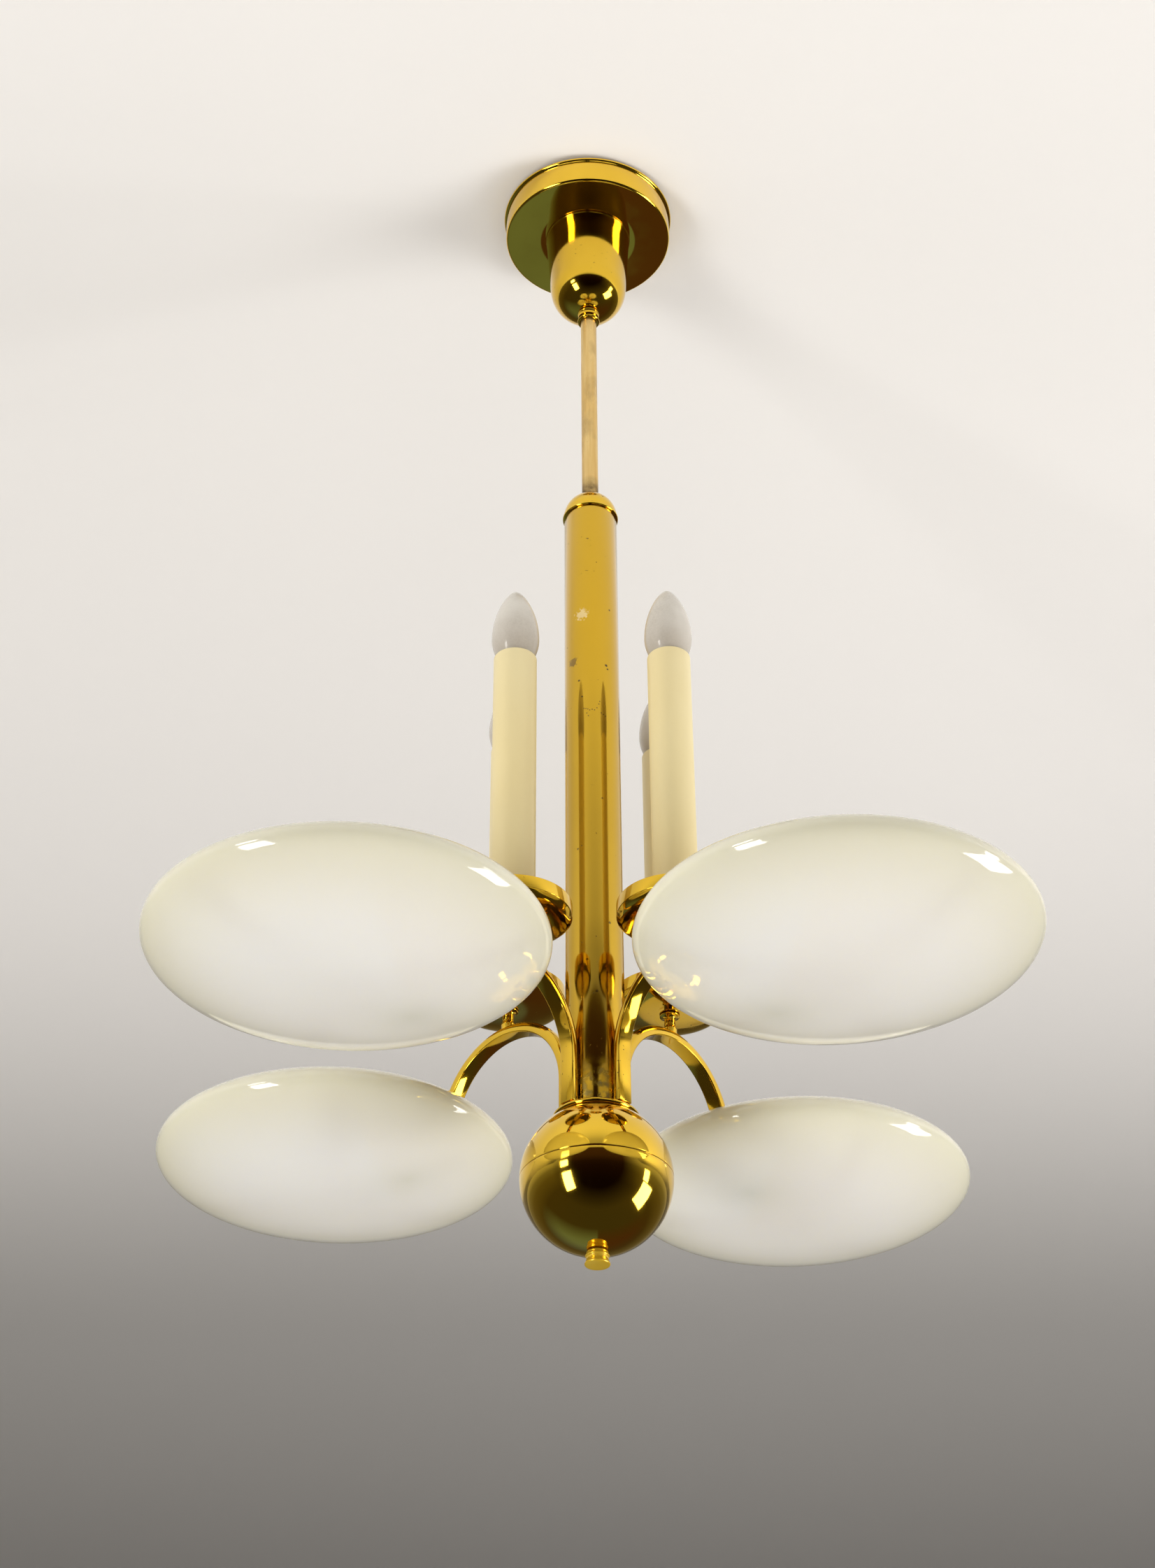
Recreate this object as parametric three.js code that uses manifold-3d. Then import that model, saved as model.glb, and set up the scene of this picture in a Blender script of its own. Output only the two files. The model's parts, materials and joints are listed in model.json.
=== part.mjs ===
// A four-arm ceiling chandelier in brass: a drum canopy, a slim rod, a thick centre tube on a ball,
// and four arched bars that each carry a tall electric candle and a wide opal glass bowl.
// Millimetres, +Z up. The origin is the middle of the ceiling bracket's top face, on the ceiling,
// and everything hangs below it. Arms are numbered round the tube, anticlockwise seen from above.
import * as THREE from "three";
import { mergeVertices } from "three/addons/utils/BufferGeometryUtils.js";
import Module from "manifold-3d";

const wasm = await Module();
wasm.setup();

// ---- Driving dimensions -------------------------------------------------------------------------

const GAP = 0.3; // clearance wherever two pieces meet or slide

// overall
const BOWL_DROP = 810; // ceiling to the widest level of the glass bowls
const ARM_ANGLES = [226, 310.5, 48, 136.5]; // degrees round the tube, from +X
const BOWL_TURNS = [1, -4, 2.5, 18]; // degrees each bowl is swung on its arm

// ceiling fixing
const BRACKET = { length: 110, width: 18, thick: 3, slotAt: 42, slotLength: 10, slotWidth: 5 };
const HOOK = { wireRadius: 2.2, bend: 8, bottom: 30, tip: 18 };
const SHACKLE = { wireRadius: 1.8, halfWidth: 10, boltAt: 62, boltRadius: 2, eyeRadius: 4.6 };
const TERMINAL = { length: 20, width: 14, height: 12, at: -30 };

// canopy
const DRUM = { radius: 68.2, flange: 1.7, top: 3, bottom: 28.3, wall: 1.2, edge: 2.4 };
const CUP = { topRadius: 34.4, midRadius: 32.4, lowRadius: 30.2, mid: 64, low: 90, bottom: 112.6, wall: 1.2 };
const COLLAR = { flareWall: 2.35, waistWall: 1.25, height: 9.6, screwRadius: 1.3 };

// middle
const ROD_RADIUS = 6.35;
const ROD_BORE = 4.6;
const ROD_TOP = 56; // below the ceiling
const TIE_RADIUS = ROD_BORE - GAP; // the tie rod starts inside the rod
const TUBE_RADIUS = 20;
const TUBE_WALL = 1.5;
const TUBE_TOP = 334; // below the ceiling
const CAP = { rimRadius: 21.2, rimHeight: 2.8, wall: 1.8, skirt: 9 };
const BALL_RADIUS = 50;
const BALL_WALL = 1.2;
const RING = { thick: 3, overlap: 1.6, spigot: 3, below: 33, boss: 4 }; // below the bowls' widest level
const NUT = { radius: 9, height: 6 };
const FINIAL = { neckRadius: 6, waist: 4.9, radius: 8.3, height: 9 };

// arms
const BAR = { width: 11.3, thick: 7.8 };
const FOOT_RADIUS = TUBE_RADIUS + 0.75 + BAR.thick / 2; // tube's axis to the foot's middle line
const LEG_RADIUS = 137; // tube's axis to the outer leg, which is the bowl's swivel
const SPRING_LINE = 3.5; // where the arch starts, above the bowls' widest level
const LEG_END = -3;
const STUD = { radius: 1.8, inset: 1.45 };
const PIN = { radius: 3.2, length: 12 };

// candles, stacked on top of the arch
const STEM = { height: 12.925, foot: 5, waist: 3.4, head: 7, pin: 3 };
const DISH = { radius: 40.3, rim: 9, sweep: 6.8, wall: 1 }; // sweep: floor's underside to the rim's foot
const SLEEVE = { radius: 15.75, wall: 1.2, reach: 220.5 }; // reach: dish's underside to the sleeve's top
const HOLDER_PLAY = 1.55; // round the lampholder, inside the sleeve
const HOLDER_HEIGHT = 28;
const HOLDER_FOOT = 9;
const CANDLE_BULB = { radius: 17.5, reach: 61, neckPlay: 2.55 }; // reach: sleeve's top to the bulb's tip

// glass bowls and what they hold
const BOWL = { radius: 125, depth: 31, wall: 3, inturn: 25, legRoom: 11 }; // inturn: edge to opening
const BOWL_OPENING = BOWL.radius - BOWL.inturn;
const BOWL_OFFSET = BOWL_OPENING - BOWL.legRoom; // the leg to the bowl's middle
const CARRIER = { level: -8, barWidth: 10, barThick: 4, bossRadius: 8, clawWidth: 8, clawThick: 1.6 };
const LOW_HOLDER = { radius: 12, top: 12 };
const GOLF_BULB = { radius: 22, centre: 41, neck: 11 };

// sides of round pieces, by size
const WIDE_SIDES = 24;
const ROUND_SIDES = 20;
const SLIM_SIDES = 12;
const SMALL_SIDES = 8;

// ---- Materials ----------------------------------------------------------------------------------

const finish = (color, roughness, metalness) =>
  new THREE.MeshStandardMaterial({ color, roughness, metalness });
const BRASS = finish(0xb8923a, 0.18, 1);
const STEEL = finish(0x9a9a98, 0.4, 1);
const OPAL = finish(0xf1ecd2, 0.12, 0);
const IVORY = finish(0xe9dfae, 0.45, 0);
const FROSTED = finish(0xd9d8d2, 0.35, 0);
const BAKELITE = finish(0x2a2622, 0.4, 0);
const PORCELAIN = finish(0xe6e2d8, 0.3, 0);

// ---- Helpers ------------------------------------------------------------------------------------

const degrees = THREE.MathUtils.degToRad;

// Only positions, with shared corners merged: one closed skin.
function skin(geometry) {
  const bare = geometry.clone();
  bare.deleteAttribute("normal");
  bare.deleteAttribute("uv");
  return mergeVertices(bare, 1e-4);
}

function toManifold(geometry) {
  const closed = skin(geometry);
  return new wasm.Manifold(new wasm.Mesh({
    numProp: 3,
    vertProperties: new Float32Array(closed.attributes.position.array),
    triVerts: new Uint32Array(closed.index.array),
  }));
}

function fromManifold(solid) {
  const mesh = solid.getMesh();
  const geometry = new THREE.BufferGeometry();
  geometry.setAttribute("position", new THREE.BufferAttribute(mesh.vertProperties, 3));
  geometry.setIndex(new THREE.BufferAttribute(mesh.triVerts, 1));
  return geometry;
}

const join = (first, ...more) =>
  fromManifold(more.reduce((sum, piece) => sum.add(toManifold(piece)), toManifold(first)));
const cut = (first, ...tools) =>
  fromManifold(tools.reduce((rest, tool) => rest.subtract(toManifold(tool)), toManifold(first)));

// Turns [radius, height] points about the Z axis. Points run so that the skin faces outwards.
function turned(points, segments = ROUND_SIDES) {
  const profile = points.map(([radius, height]) => new THREE.Vector2(radius, height));
  return skin(new THREE.LatheGeometry(profile, segments).rotateX(Math.PI / 2));
}

// A ring's profile closes on itself: outer points going up, then inner points going down.
const turnedRing = (outer, inner, segments) => turned([...outer, ...inner, outer[0]], segments);

function cylinder(radius, bottom, top, segments = SMALL_SIDES) {
  return turned([[0, bottom], [radius, bottom], [radius, top], [0, top]], segments);
}

// Points on an ellipse from one angle to another, about (0, centre) in [radius, height].
function arc(acrossRadius, upRadius, centre, from, to, steps) {
  return Array.from({ length: steps + 1 }, (_, i) => {
    const angle = degrees(from + ((to - from) * i) / steps);
    return [acrossRadius * Math.cos(angle), centre + upRadius * Math.sin(angle)];
  });
}

function piece(name, geometry, material, parent, place = [0, 0, 0], turn = 0) {
  const mesh = new THREE.Mesh(geometry, material);
  mesh.name = name;
  mesh.position.set(...place);
  mesh.rotation.z = turn;
  parent.add(mesh);
  return mesh;
}

const chandelier = new THREE.Group();
const bowlLevel = -BOWL_DROP;
const middle = new THREE.Group(); // heights in here are measured from the bowls' widest level
middle.position.z = bowlLevel;
chandelier.add(middle);

// ---- Ceiling fixing -----------------------------------------------------------------------------

function bracket() {
  const { length, width, thick, slotAt, slotLength, slotWidth } = BRACKET;
  const outline = new THREE.Shape();
  const straight = length / 2 - width / 2;
  outline.absarc(straight, 0, width / 2, -Math.PI / 2, Math.PI / 2);
  outline.absarc(-straight, 0, width / 2, Math.PI / 2, (3 * Math.PI) / 2);
  for (const side of [-1, 1]) {
    const slot = new THREE.Path();
    const half = (slotLength - slotWidth) / 2;
    slot.absarc(side * slotAt + half, 0, slotWidth / 2, -Math.PI / 2, Math.PI / 2);
    slot.absarc(side * slotAt - half, 0, slotWidth / 2, Math.PI / 2, (3 * Math.PI) / 2);
    outline.holes.push(slot);
  }
  const plate = new THREE.ExtrudeGeometry(outline, { depth: thick, bevelEnabled: false, curveSegments: 4 });
  return skin(plate.translate(0, 0, -thick));
}
piece("ceiling_bracket", bracket(), STEEL, chandelier);

const roundSection = (radius, sides) => {
  const shape = new THREE.Shape();
  for (let i = 0; i < sides; i += 1) {
    const angle = (2 * Math.PI * i) / sides;
    const corner = [radius * Math.cos(angle), radius * Math.sin(angle)];
    if (i === 0) shape.moveTo(...corner);
    else shape.lineTo(...corner);
  }
  return shape;
};

// The hook's shank is brazed under the bracket; its bend hangs open in the XZ plane.
function hook() {
  const { wireRadius, bend, bottom, tip } = HOOK;
  const centre = -bottom + bend;
  const points = [
    [0, -BRACKET.thick - GAP], [0, -BRACKET.thick - 4], [bend * 0.6, centre + 10], [bend, centre + 4],
  ];
  for (let step = 0; step <= 6; step += 1) {
    const angle = -(Math.PI * step) / 6;
    points.push([bend * Math.cos(angle), centre + bend * Math.sin(angle)]);
  }
  points.push([-bend, -tip]);
  const bends = points.map(([x, z]) => new THREE.Vector3(x, 0, z));
  const line = new THREE.CatmullRomCurve3(bends, false, "centripetal");
  const wire = roundSection(wireRadius, 6);
  return skin(new THREE.ExtrudeGeometry(wire, { steps: 18, extrudePath: line, bevelEnabled: false }));
}
piece("ceiling_hook", hook(), STEEL, chandelier);

const terminal = new THREE.BoxGeometry(TERMINAL.length, TERMINAL.width, TERMINAL.height);
piece("terminal_block", skin(terminal), PORCELAIN, chandelier,
  [TERMINAL.at, 0, -BRACKET.thick - GAP - TERMINAL.height / 2]);

// A bent wire loop over the hook, with an eye at each end for the cross bolt.
function shackle() {
  const { wireRadius, halfWidth, boltAt, boltRadius, eyeRadius } = SHACKLE;
  const top = -HOOK.bottom + HOOK.wireRadius + GAP + wireRadius;
  const points = [[-halfWidth, -boltAt], [-halfWidth, top - halfWidth - 6]];
  for (let step = 0; step <= 6; step += 1) {
    const angle = Math.PI - (Math.PI * step) / 6;
    points.push([halfWidth * Math.cos(angle), top - halfWidth + halfWidth * Math.sin(angle)]);
  }
  points.push([halfWidth, top - halfWidth - 6], [halfWidth, -boltAt]);
  const bends = points.map(([y, z]) => new THREE.Vector3(0, y, z));
  const line = new THREE.CatmullRomCurve3(bends, false, "centripetal");
  const section = roundSection(wireRadius, 6);
  const loop = new THREE.ExtrudeGeometry(section, { steps: 18, extrudePath: line, bevelEnabled: false });
  const crosswise = (radius, from, to) =>
    cylinder(radius, from, to).rotateX(Math.PI / 2).translate(0, 0, -boltAt);
  const eyes = [-1, 1].map((side) => crosswise(eyeRadius, side * halfWidth - 1.6, side * halfWidth + 1.6));
  const holes = crosswise(boltRadius + GAP, -halfWidth * 2, halfWidth * 2);
  return cut(join(loop, ...eyes), holes);
}
piece("hanger_shackle", shackle(), STEEL, chandelier);

function crossBolt() {
  const reach = SHACKLE.halfWidth + 1.6 + GAP;
  const { boltRadius } = SHACKLE;
  const bolt = turned([
    [0, -reach - 3], [3.8, -reach - 3], [3.8, -reach], [boltRadius, -reach],
    [boltRadius, reach], [3.6, reach], [3.6, reach + 1.6], [2.2, reach + 2.6], [0, reach + 2.6],
  ], SMALL_SIDES);
  return bolt.rotateX(Math.PI / 2);
}
piece("shackle_bolt", crossBolt(), STEEL, chandelier, [0, 0, -SHACKLE.boltAt]);

// ---- Canopy: drum, cup and clamping collar ------------------------------------------------------

const ROD_HOLE = ROD_RADIUS + GAP;
const cupNeck = CUP.topRadius - 4.4;

function drum() {
  const { radius, flange, top, bottom, wall, edge } = DRUM;
  const flangeRadius = radius + flange;
  const corner = arc(edge, edge, 0, -90, 0, 2).map(([x, z]) => [radius - edge + x, -bottom + edge + z]);
  const outer = [
    [cupNeck + GAP, -bottom], ...corner, [radius, -top - 5], [flangeRadius, -top - 3.6],
    [flangeRadius, -top - 0.8], [flangeRadius - 0.8, -top],
  ];
  const inner = [
    [radius - wall, -top], [radius - wall, -bottom + edge], [radius - edge, -bottom + wall],
    [cupNeck + GAP, -bottom + wall],
  ];
  return turnedRing(outer, inner, WIDE_SIDES);
}
piece("canopy_drum", drum(), BRASS, chandelier);

function cup() {
  const { topRadius, midRadius, lowRadius, mid, low, bottom, wall } = CUP;
  const mouth = ROD_HOLE + COLLAR.flareWall;
  const end = (Math.acos(mouth / lowRadius) * 180) / Math.PI;
  const egg = (shrink) => arc(lowRadius - shrink, bottom - low - shrink, -low, -end, 0, 4);
  const drumFace = -DRUM.bottom - GAP;
  const outer = [
    [ROD_HOLE, -bottom], ...egg(0), [midRadius, -mid], [topRadius, drumFace],
    [cupNeck, drumFace], [cupNeck, -DRUM.bottom + 4],
  ];
  const inner = [
    [cupNeck - wall, -DRUM.bottom + 4], [cupNeck - wall, drumFace - wall],
    [topRadius - wall, drumFace - wall], [midRadius - wall, -mid], ...egg(wall).reverse(),
    [ROD_HOLE, -bottom + wall + 1],
  ];
  return turnedRing(outer, inner);
}
piece("canopy_cup", cup(), BRASS, chandelier);

const collarTop = -CUP.bottom - GAP;
function collar() {
  const { flareWall, waistWall, height, screwRadius } = COLLAR;
  const radius = ROD_HOLE + flareWall;
  const waist = ROD_HOLE + waistWall;
  const outer = [
    [ROD_HOLE, collarTop - height], [radius - 0.5, collarTop - height], [radius, collarTop - height + 1],
    [waist + 0.2, collarTop - height + 3.2], [waist, collarTop - height / 2], [radius - 0.4, collarTop - 1.2],
    [radius - 0.6, collarTop],
  ];
  const body = turnedRing(outer, [[ROD_HOLE, collarTop]], SLIM_SIDES);
  const hole = cylinder(screwRadius + 0.15, 0, radius * 2).rotateY(Math.PI / 2);
  return cut(body, hole.translate(0, 0, collarTop - height / 2));
}
const screwTurn = degrees(120); // the clamping screw sits at the back
piece("cup_collar", collar(), BRASS, chandelier, [0, 0, 0], screwTurn);

const screwEnd = ROD_HOLE + COLLAR.flareWall + 1.4;
const setScrew = cylinder(COLLAR.screwRadius, ROD_HOLE, screwEnd).rotateY(Math.PI / 2);
piece("collar_screw", setScrew, STEEL, chandelier, [0, 0, collarTop - COLLAR.height / 2], screwTurn);

// ---- Rod, cap, tube, ball -----------------------------------------------------------------------

function rod() {
  const bottom = -TUBE_TOP - CAP.skirt;
  const pipe = turnedRing(
    [[ROD_BORE, bottom], [ROD_RADIUS, bottom], [ROD_RADIUS, -ROD_TOP]], [[ROD_BORE, -ROD_TOP]], SLIM_SIDES);
  const boltHole = cylinder(SHACKLE.boltRadius + GAP, -20, 20).rotateX(Math.PI / 2);
  return cut(pipe, boltHole.translate(0, 0, -SHACKLE.boltAt));
}
piece("stem_rod", rod(), BRASS, chandelier);

function cap() {
  const { rimRadius, rimHeight, wall, skirt } = CAP;
  const seat = -TUBE_TOP + GAP;
  const dome = TUBE_RADIUS + 0.4;
  const stop = (Math.acos(ROD_HOLE / dome) * 180) / Math.PI;
  const innerStop = (Math.acos(ROD_HOLE / (dome - wall)) * 180) / Math.PI;
  const plug = TUBE_RADIUS - TUBE_WALL - GAP;
  const springs = seat + rimHeight;
  const outer = [
    [plug, seat - skirt], [plug, seat], [rimRadius, seat], [rimRadius, springs - 0.8],
    ...arc(dome, dome, springs, 0, stop, 5),
  ];
  const inner = [
    ...arc(dome - wall, dome - wall, springs, 0, innerStop, 4).reverse(), [plug - wall, seat - skirt],
  ];
  return turnedRing(outer, inner);
}
piece("tube_cap", cap(), BRASS, chandelier);

const ringTop = -RING.below;
const ringRadius = FOOT_RADIUS + BAR.thick / 2 + 0.05;
const ballOpening = ringRadius - RING.overlap;
const studRadius = FOOT_RADIUS - STUD.inset;
const tubeEnd = ringTop + GAP;
const tubeTopUp = BOWL_DROP - TUBE_TOP;
const tube = turnedRing(
  [[TUBE_RADIUS - TUBE_WALL, tubeEnd], [TUBE_RADIUS, tubeEnd], [TUBE_RADIUS, tubeTopUp]],
  [[TUBE_RADIUS - TUBE_WALL, tubeTopUp]]);
piece("centre_tube", tube, BRASS, middle);

const ballCentre = ringTop - RING.thick - GAP - Math.sqrt(BALL_RADIUS ** 2 - ballOpening ** 2);
const ballFoot = ballCentre - BALL_RADIUS;
const finialTop = ballFoot - GAP;
const tieBottom = finialTop - FINIAL.height + 3.5;
piece("tie_rod", cylinder(TIE_RADIUS, tieBottom, tubeTopUp + 26), STEEL, middle);

// The arms stand on this ring; its boss centres the tube and its spigot fills the ball's opening.
function armRing() {
  const { thick, spigot, boss } = RING;
  const radius = ringRadius;
  const bore = TIE_RADIUS + GAP;
  const neck = ballOpening - 0.6;
  const bossRadius = TUBE_RADIUS - TUBE_WALL - GAP;
  const outer = [
    [bore, ringTop - thick - spigot], [neck, ringTop - thick - spigot], [neck, ringTop - thick],
    [radius, ringTop - thick], [radius, ringTop - 0.8], [radius - 0.8, ringTop], [bossRadius, ringTop],
    [bossRadius, ringTop + boss],
  ];
  const disc = turnedRing(outer, [[bore, ringTop + boss]]);
  const holes = ARM_ANGLES.map((angle) => {
    const turn = degrees(angle);
    const drill = cylinder(STUD.radius + GAP, ringTop - 20, ringTop + 20);
    return drill.translate(studRadius * Math.cos(turn), studRadius * Math.sin(turn), 0);
  });
  return cut(disc, ...holes);
}
piece("arm_ring", armRing(), BRASS, middle);

const ballArc = (radius, from, to, steps) => arc(radius, radius, ballCentre, from, to, steps);
const angleAt = (hole, radius) => (Math.acos(hole / radius) * 180) / Math.PI;
const ballInside = BALL_RADIUS - BALL_WALL;

function upperBall() {
  const seam = 0.17; // degrees, half the seam's gap
  const outer = ballArc(BALL_RADIUS, seam, angleAt(ballOpening, BALL_RADIUS), 5);
  const inner = ballArc(ballInside, angleAt(ballOpening, ballInside), seam, 4);
  return turnedRing(outer, inner, WIDE_SIDES);
}
piece("ball_upper", upperBall(), BRASS, middle);

// The lower half has an inner lip that centres it in the upper half.
function lowerBall() {
  const seam = 0.17;
  const hole = TIE_RADIUS + GAP;
  const lip = ballInside - 0.5;
  const outer = ballArc(BALL_RADIUS, -angleAt(hole, BALL_RADIUS), -seam, 7);
  const inner = ballArc(ballInside - 1.6, -4, -angleAt(hole, ballInside - 1.6), 6);
  const lipRing = [[lip, ballCentre - 0.15], [lip, ballCentre + 3], [lip - 1.1, ballCentre + 3]];
  return turnedRing(outer, [...lipRing, ...inner], WIDE_SIDES);
}
piece("ball_lower", lowerBall(), BRASS, middle);

const nutTop = ringTop - RING.thick - RING.spigot - GAP;
const nutBore = (TIE_RADIUS + GAP) / Math.cos(Math.PI / 6); // a six-sided bore that clears the rod
const nut = turnedRing(
  [[nutBore, nutTop - NUT.height], [NUT.radius, nutTop - NUT.height], [NUT.radius, nutTop]],
  [[nutBore, nutTop]], 6);
piece("hub_nut", nut, STEEL, middle);

function finial() {
  const { neckRadius, waist, radius, height } = FINIAL;
  const bottom = finialTop - height;
  const bore = TIE_RADIUS + GAP;
  return turned([
    [0, bottom], [radius - 0.8, bottom], [radius, bottom + 1], [radius - 0.4, bottom + 2.4],
    [waist, bottom + 5.2], [waist + 0.2, finialTop - 2], [neckRadius, finialTop - 1.6],
    [neckRadius - 0.2, finialTop], [bore, finialTop], [bore, bottom + 3], [0, bottom + 3],
  ], SLIM_SIDES);
}
piece("finial", finial(), BRASS, middle);

// ---- Arms ---------------------------------------------------------------------------------------

const archRadius = (LEG_RADIUS - FOOT_RADIUS) / 2;
const candleRadius = FOOT_RADIUS + archRadius; // the candle stands on the top of the arch
const archTop = SPRING_LINE + archRadius + BAR.thick / 2;
const footBottom = ringTop + GAP;

// Foot straight up, half a circle over, and down into the bowl: one line in the XZ plane.
class ArmLine extends THREE.Curve {
  getPoint(t, target = new THREE.Vector3()) {
    const rise = SPRING_LINE - footBottom;
    const over = Math.PI * archRadius;
    const fall = SPRING_LINE - LEG_END;
    const along = t * (rise + over + fall);
    if (along < rise) return target.set(FOOT_RADIUS, 0, footBottom + along);
    if (along > rise + over) return target.set(LEG_RADIUS, 0, SPRING_LINE - (along - rise - over));
    const angle = Math.PI - (along - rise) / archRadius;
    const out = candleRadius + archRadius * Math.cos(angle);
    return target.set(out, 0, SPRING_LINE + archRadius * Math.sin(angle));
  }
}

// The bar is flat inside the arch and rounded outside. The path's frame puts the section's x across
// the arm and its y towards the inside of the arch.
function barSection() {
  const half = BAR.width / 2;
  const { thick } = BAR;
  const outline = [
    [-half, thick / 2], [-half, -thick * 0.05], [-half * 0.6, -thick * 0.42],
    [half * 0.6, -thick * 0.42], [half, -thick * 0.05], [half, thick / 2],
  ];
  return new THREE.Shape(outline.map(([x, y]) => new THREE.Vector2(x, y)));
}

function arm() {
  const sweep = { steps: 22, extrudePath: new ArmLine(), bevelEnabled: false };
  const bar = new THREE.ExtrudeGeometry(barSection(), sweep);
  const studBottom = ringTop - RING.thick - RING.spigot - 0.4;
  const stud = cylinder(STUD.radius, studBottom, footBottom + 2).translate(studRadius, 0, 0);
  const pin = cylinder(PIN.radius, LEG_END - PIN.length, LEG_END + 2).translate(LEG_RADIUS, 0, 0);
  const socket = cylinder(STEM.pin + GAP, archTop - 4, archTop + 4).translate(candleRadius, 0, 0);
  return cut(join(bar, stud, pin), socket);
}

// ---- Candles ------------------------------------------------------------------------------------

const dishBottom = archTop + STEM.height;
const dishFloor = dishBottom + DISH.wall;
const holderBottom = dishFloor + GAP;

function stem() {
  const { foot, waist, head, pin } = STEM;
  const bottom = archTop + GAP;
  const top = dishBottom - GAP;
  return turned([
    [0, archTop - 3.5], [pin, archTop - 3.5], [pin, bottom], [foot, bottom], [foot, bottom + 1.4],
    [waist, bottom + 3.2], [waist + 0.6, top - 4.4], [head, top - 1.4], [head, top], [pin, top],
    [pin, dishFloor - 0.1], [0, dishFloor - 0.1],
  ], SMALL_SIDES);
}

function dish() {
  const { radius, rim, sweep, wall } = DISH;
  const rimFoot = dishBottom + sweep;
  const hole = STEM.pin + GAP;
  const flat = HOLDER_FOOT + 1;
  const bowlLine = (lift, out) => [
    [flat, dishBottom + lift], [radius * 0.36 + out, dishBottom + 0.7 + lift],
    [radius * 0.7 + out, dishBottom + 3 + lift], [radius * 0.91 + out, rimFoot - 1.6 + lift],
  ];
  const outer = [[hole, dishBottom], ...bowlLine(0, 0), [radius, rimFoot], [radius, rimFoot + rim]];
  const inner = [
    [radius - wall, rimFoot + rim], [radius - wall, rimFoot + 0.5], ...bowlLine(wall, -0.4).reverse(),
    [hole, dishFloor],
  ];
  return turnedRing(outer, inner);
}

const sleeveTop = dishBottom + SLEEVE.reach;
const holderTop = sleeveTop - 6;
const sleeveBore = SLEEVE.radius - SLEEVE.wall;
const holderRadius = sleeveBore - HOLDER_PLAY;
const sleeveFoot = dishBottom + 0.7 + DISH.wall + 1.2;
const sleeve = turnedRing(
  [[sleeveBore, sleeveFoot], [SLEEVE.radius, sleeveFoot], [SLEEVE.radius, sleeveTop]],
  [[sleeveBore, sleeveTop]], SLIM_SIDES);

// A lampholder on its own tall foot, standing in the sleeve.
const candleHolder = turned([
  [0, holderBottom], [HOLDER_FOOT, holderBottom], [HOLDER_FOOT, holderBottom + 2], [4, holderBottom + 3.5],
  [4, holderTop - HOLDER_HEIGHT - 3], [holderRadius, holderTop - HOLDER_HEIGHT], [holderRadius, holderTop],
  [0, holderTop],
], SMALL_SIDES);

function candleBulb() {
  const { radius, reach, neckPlay } = CANDLE_BULB;
  const neck = sleeveBore - neckPlay;
  const foot = holderTop + GAP;
  const tip = sleeveTop + reach;
  const widest = sleeveTop + reach * 0.36;
  const shoulder = [[neck, sleeveTop], [radius * 0.87, sleeveTop + (widest - sleeveTop) * 0.42]];
  const ogive = Array.from({ length: 4 }, (_, i) => {
    const turn = (i / 3.5) * Math.PI / 2;
    return [radius * Math.cos(turn) ** 0.8, widest + (tip - widest) * Math.sin(turn)];
  });
  return turned([[0, foot], [neck, foot], ...shoulder, ...ogive, [0, tip]], SLIM_SIDES);
}

// ---- Glass bowls --------------------------------------------------------------------------------

// A flattened bowl whose wall curves in to a wide opening on top.
function bowl() {
  const { radius, depth, wall } = BOWL;
  const lip = (Math.acos(BOWL_OPENING / radius) * 180) / Math.PI;
  const innerLip = (Math.acos(BOWL_OPENING / (radius - wall)) * 180) / Math.PI;
  const outer = arc(radius, depth, 0, -90, lip, 7);
  const inner = arc(radius - wall, depth - wall, 0, innerLip, -90, 6);
  outer[0][0] = 0;
  inner[inner.length - 1][0] = 0;
  return turned([...outer, ...inner], WIDE_SIDES);
}

// The carrier hangs on the leg's pin and reaches to the bowl's centre; three claws hold the glass
// from inside, under its shoulder. Its own X axis runs from the pin outwards, from the bowl's centre.
function carrier() {
  const { level, barWidth, barThick, bossRadius, clawWidth, clawThick } = CARRIER;
  const bushTop = LEG_END - GAP;
  const bush = cylinder(BAR.width / 2 + 1, level - barThick / 2, bushTop, SLIM_SIDES)
    .translate(-BOWL_OFFSET, 0, 0);
  const bar = new THREE.BoxGeometry(BOWL_OFFSET, barWidth, barThick).translate(-BOWL_OFFSET / 2, 0, level);
  const boss = cylinder(bossRadius, level - barThick, level + barThick / 2);
  const insideRadius = BOWL.radius - BOWL.wall;
  const insideDepth = BOWL.depth - BOWL.wall;
  const tipRadius = insideRadius * 0.92;
  const tipHeight = insideDepth * Math.sqrt(1 - 0.92 ** 2) - clawThick - 0.4;
  const bend = insideRadius * 0.8;
  const side = [[2, level - clawThick], [bend, level - clawThick], [tipRadius, tipHeight - clawThick],
    [tipRadius, tipHeight], [bend - 1, level], [2, level]];
  const claws = [0, 120, 240].map((angle) => {
    const outline = new THREE.Shape(side.map(([x, z]) => new THREE.Vector2(x, z)));
    const strip = new THREE.ExtrudeGeometry(outline, { depth: clawWidth, bevelEnabled: false });
    return strip.translate(0, 0, -clawWidth / 2).rotateX(Math.PI / 2).rotateZ(degrees(angle));
  });
  const hole = cylinder(PIN.radius + GAP, level - 20, LEG_END + 20).translate(-BOWL_OFFSET, 0, 0);
  return cut(join(bar, bush, boss, ...claws), hole);
}

const lowHolder = cylinder(
  LOW_HOLDER.radius, CARRIER.level + CARRIER.barThick / 2 + GAP, LOW_HOLDER.top, SLIM_SIDES);

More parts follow.
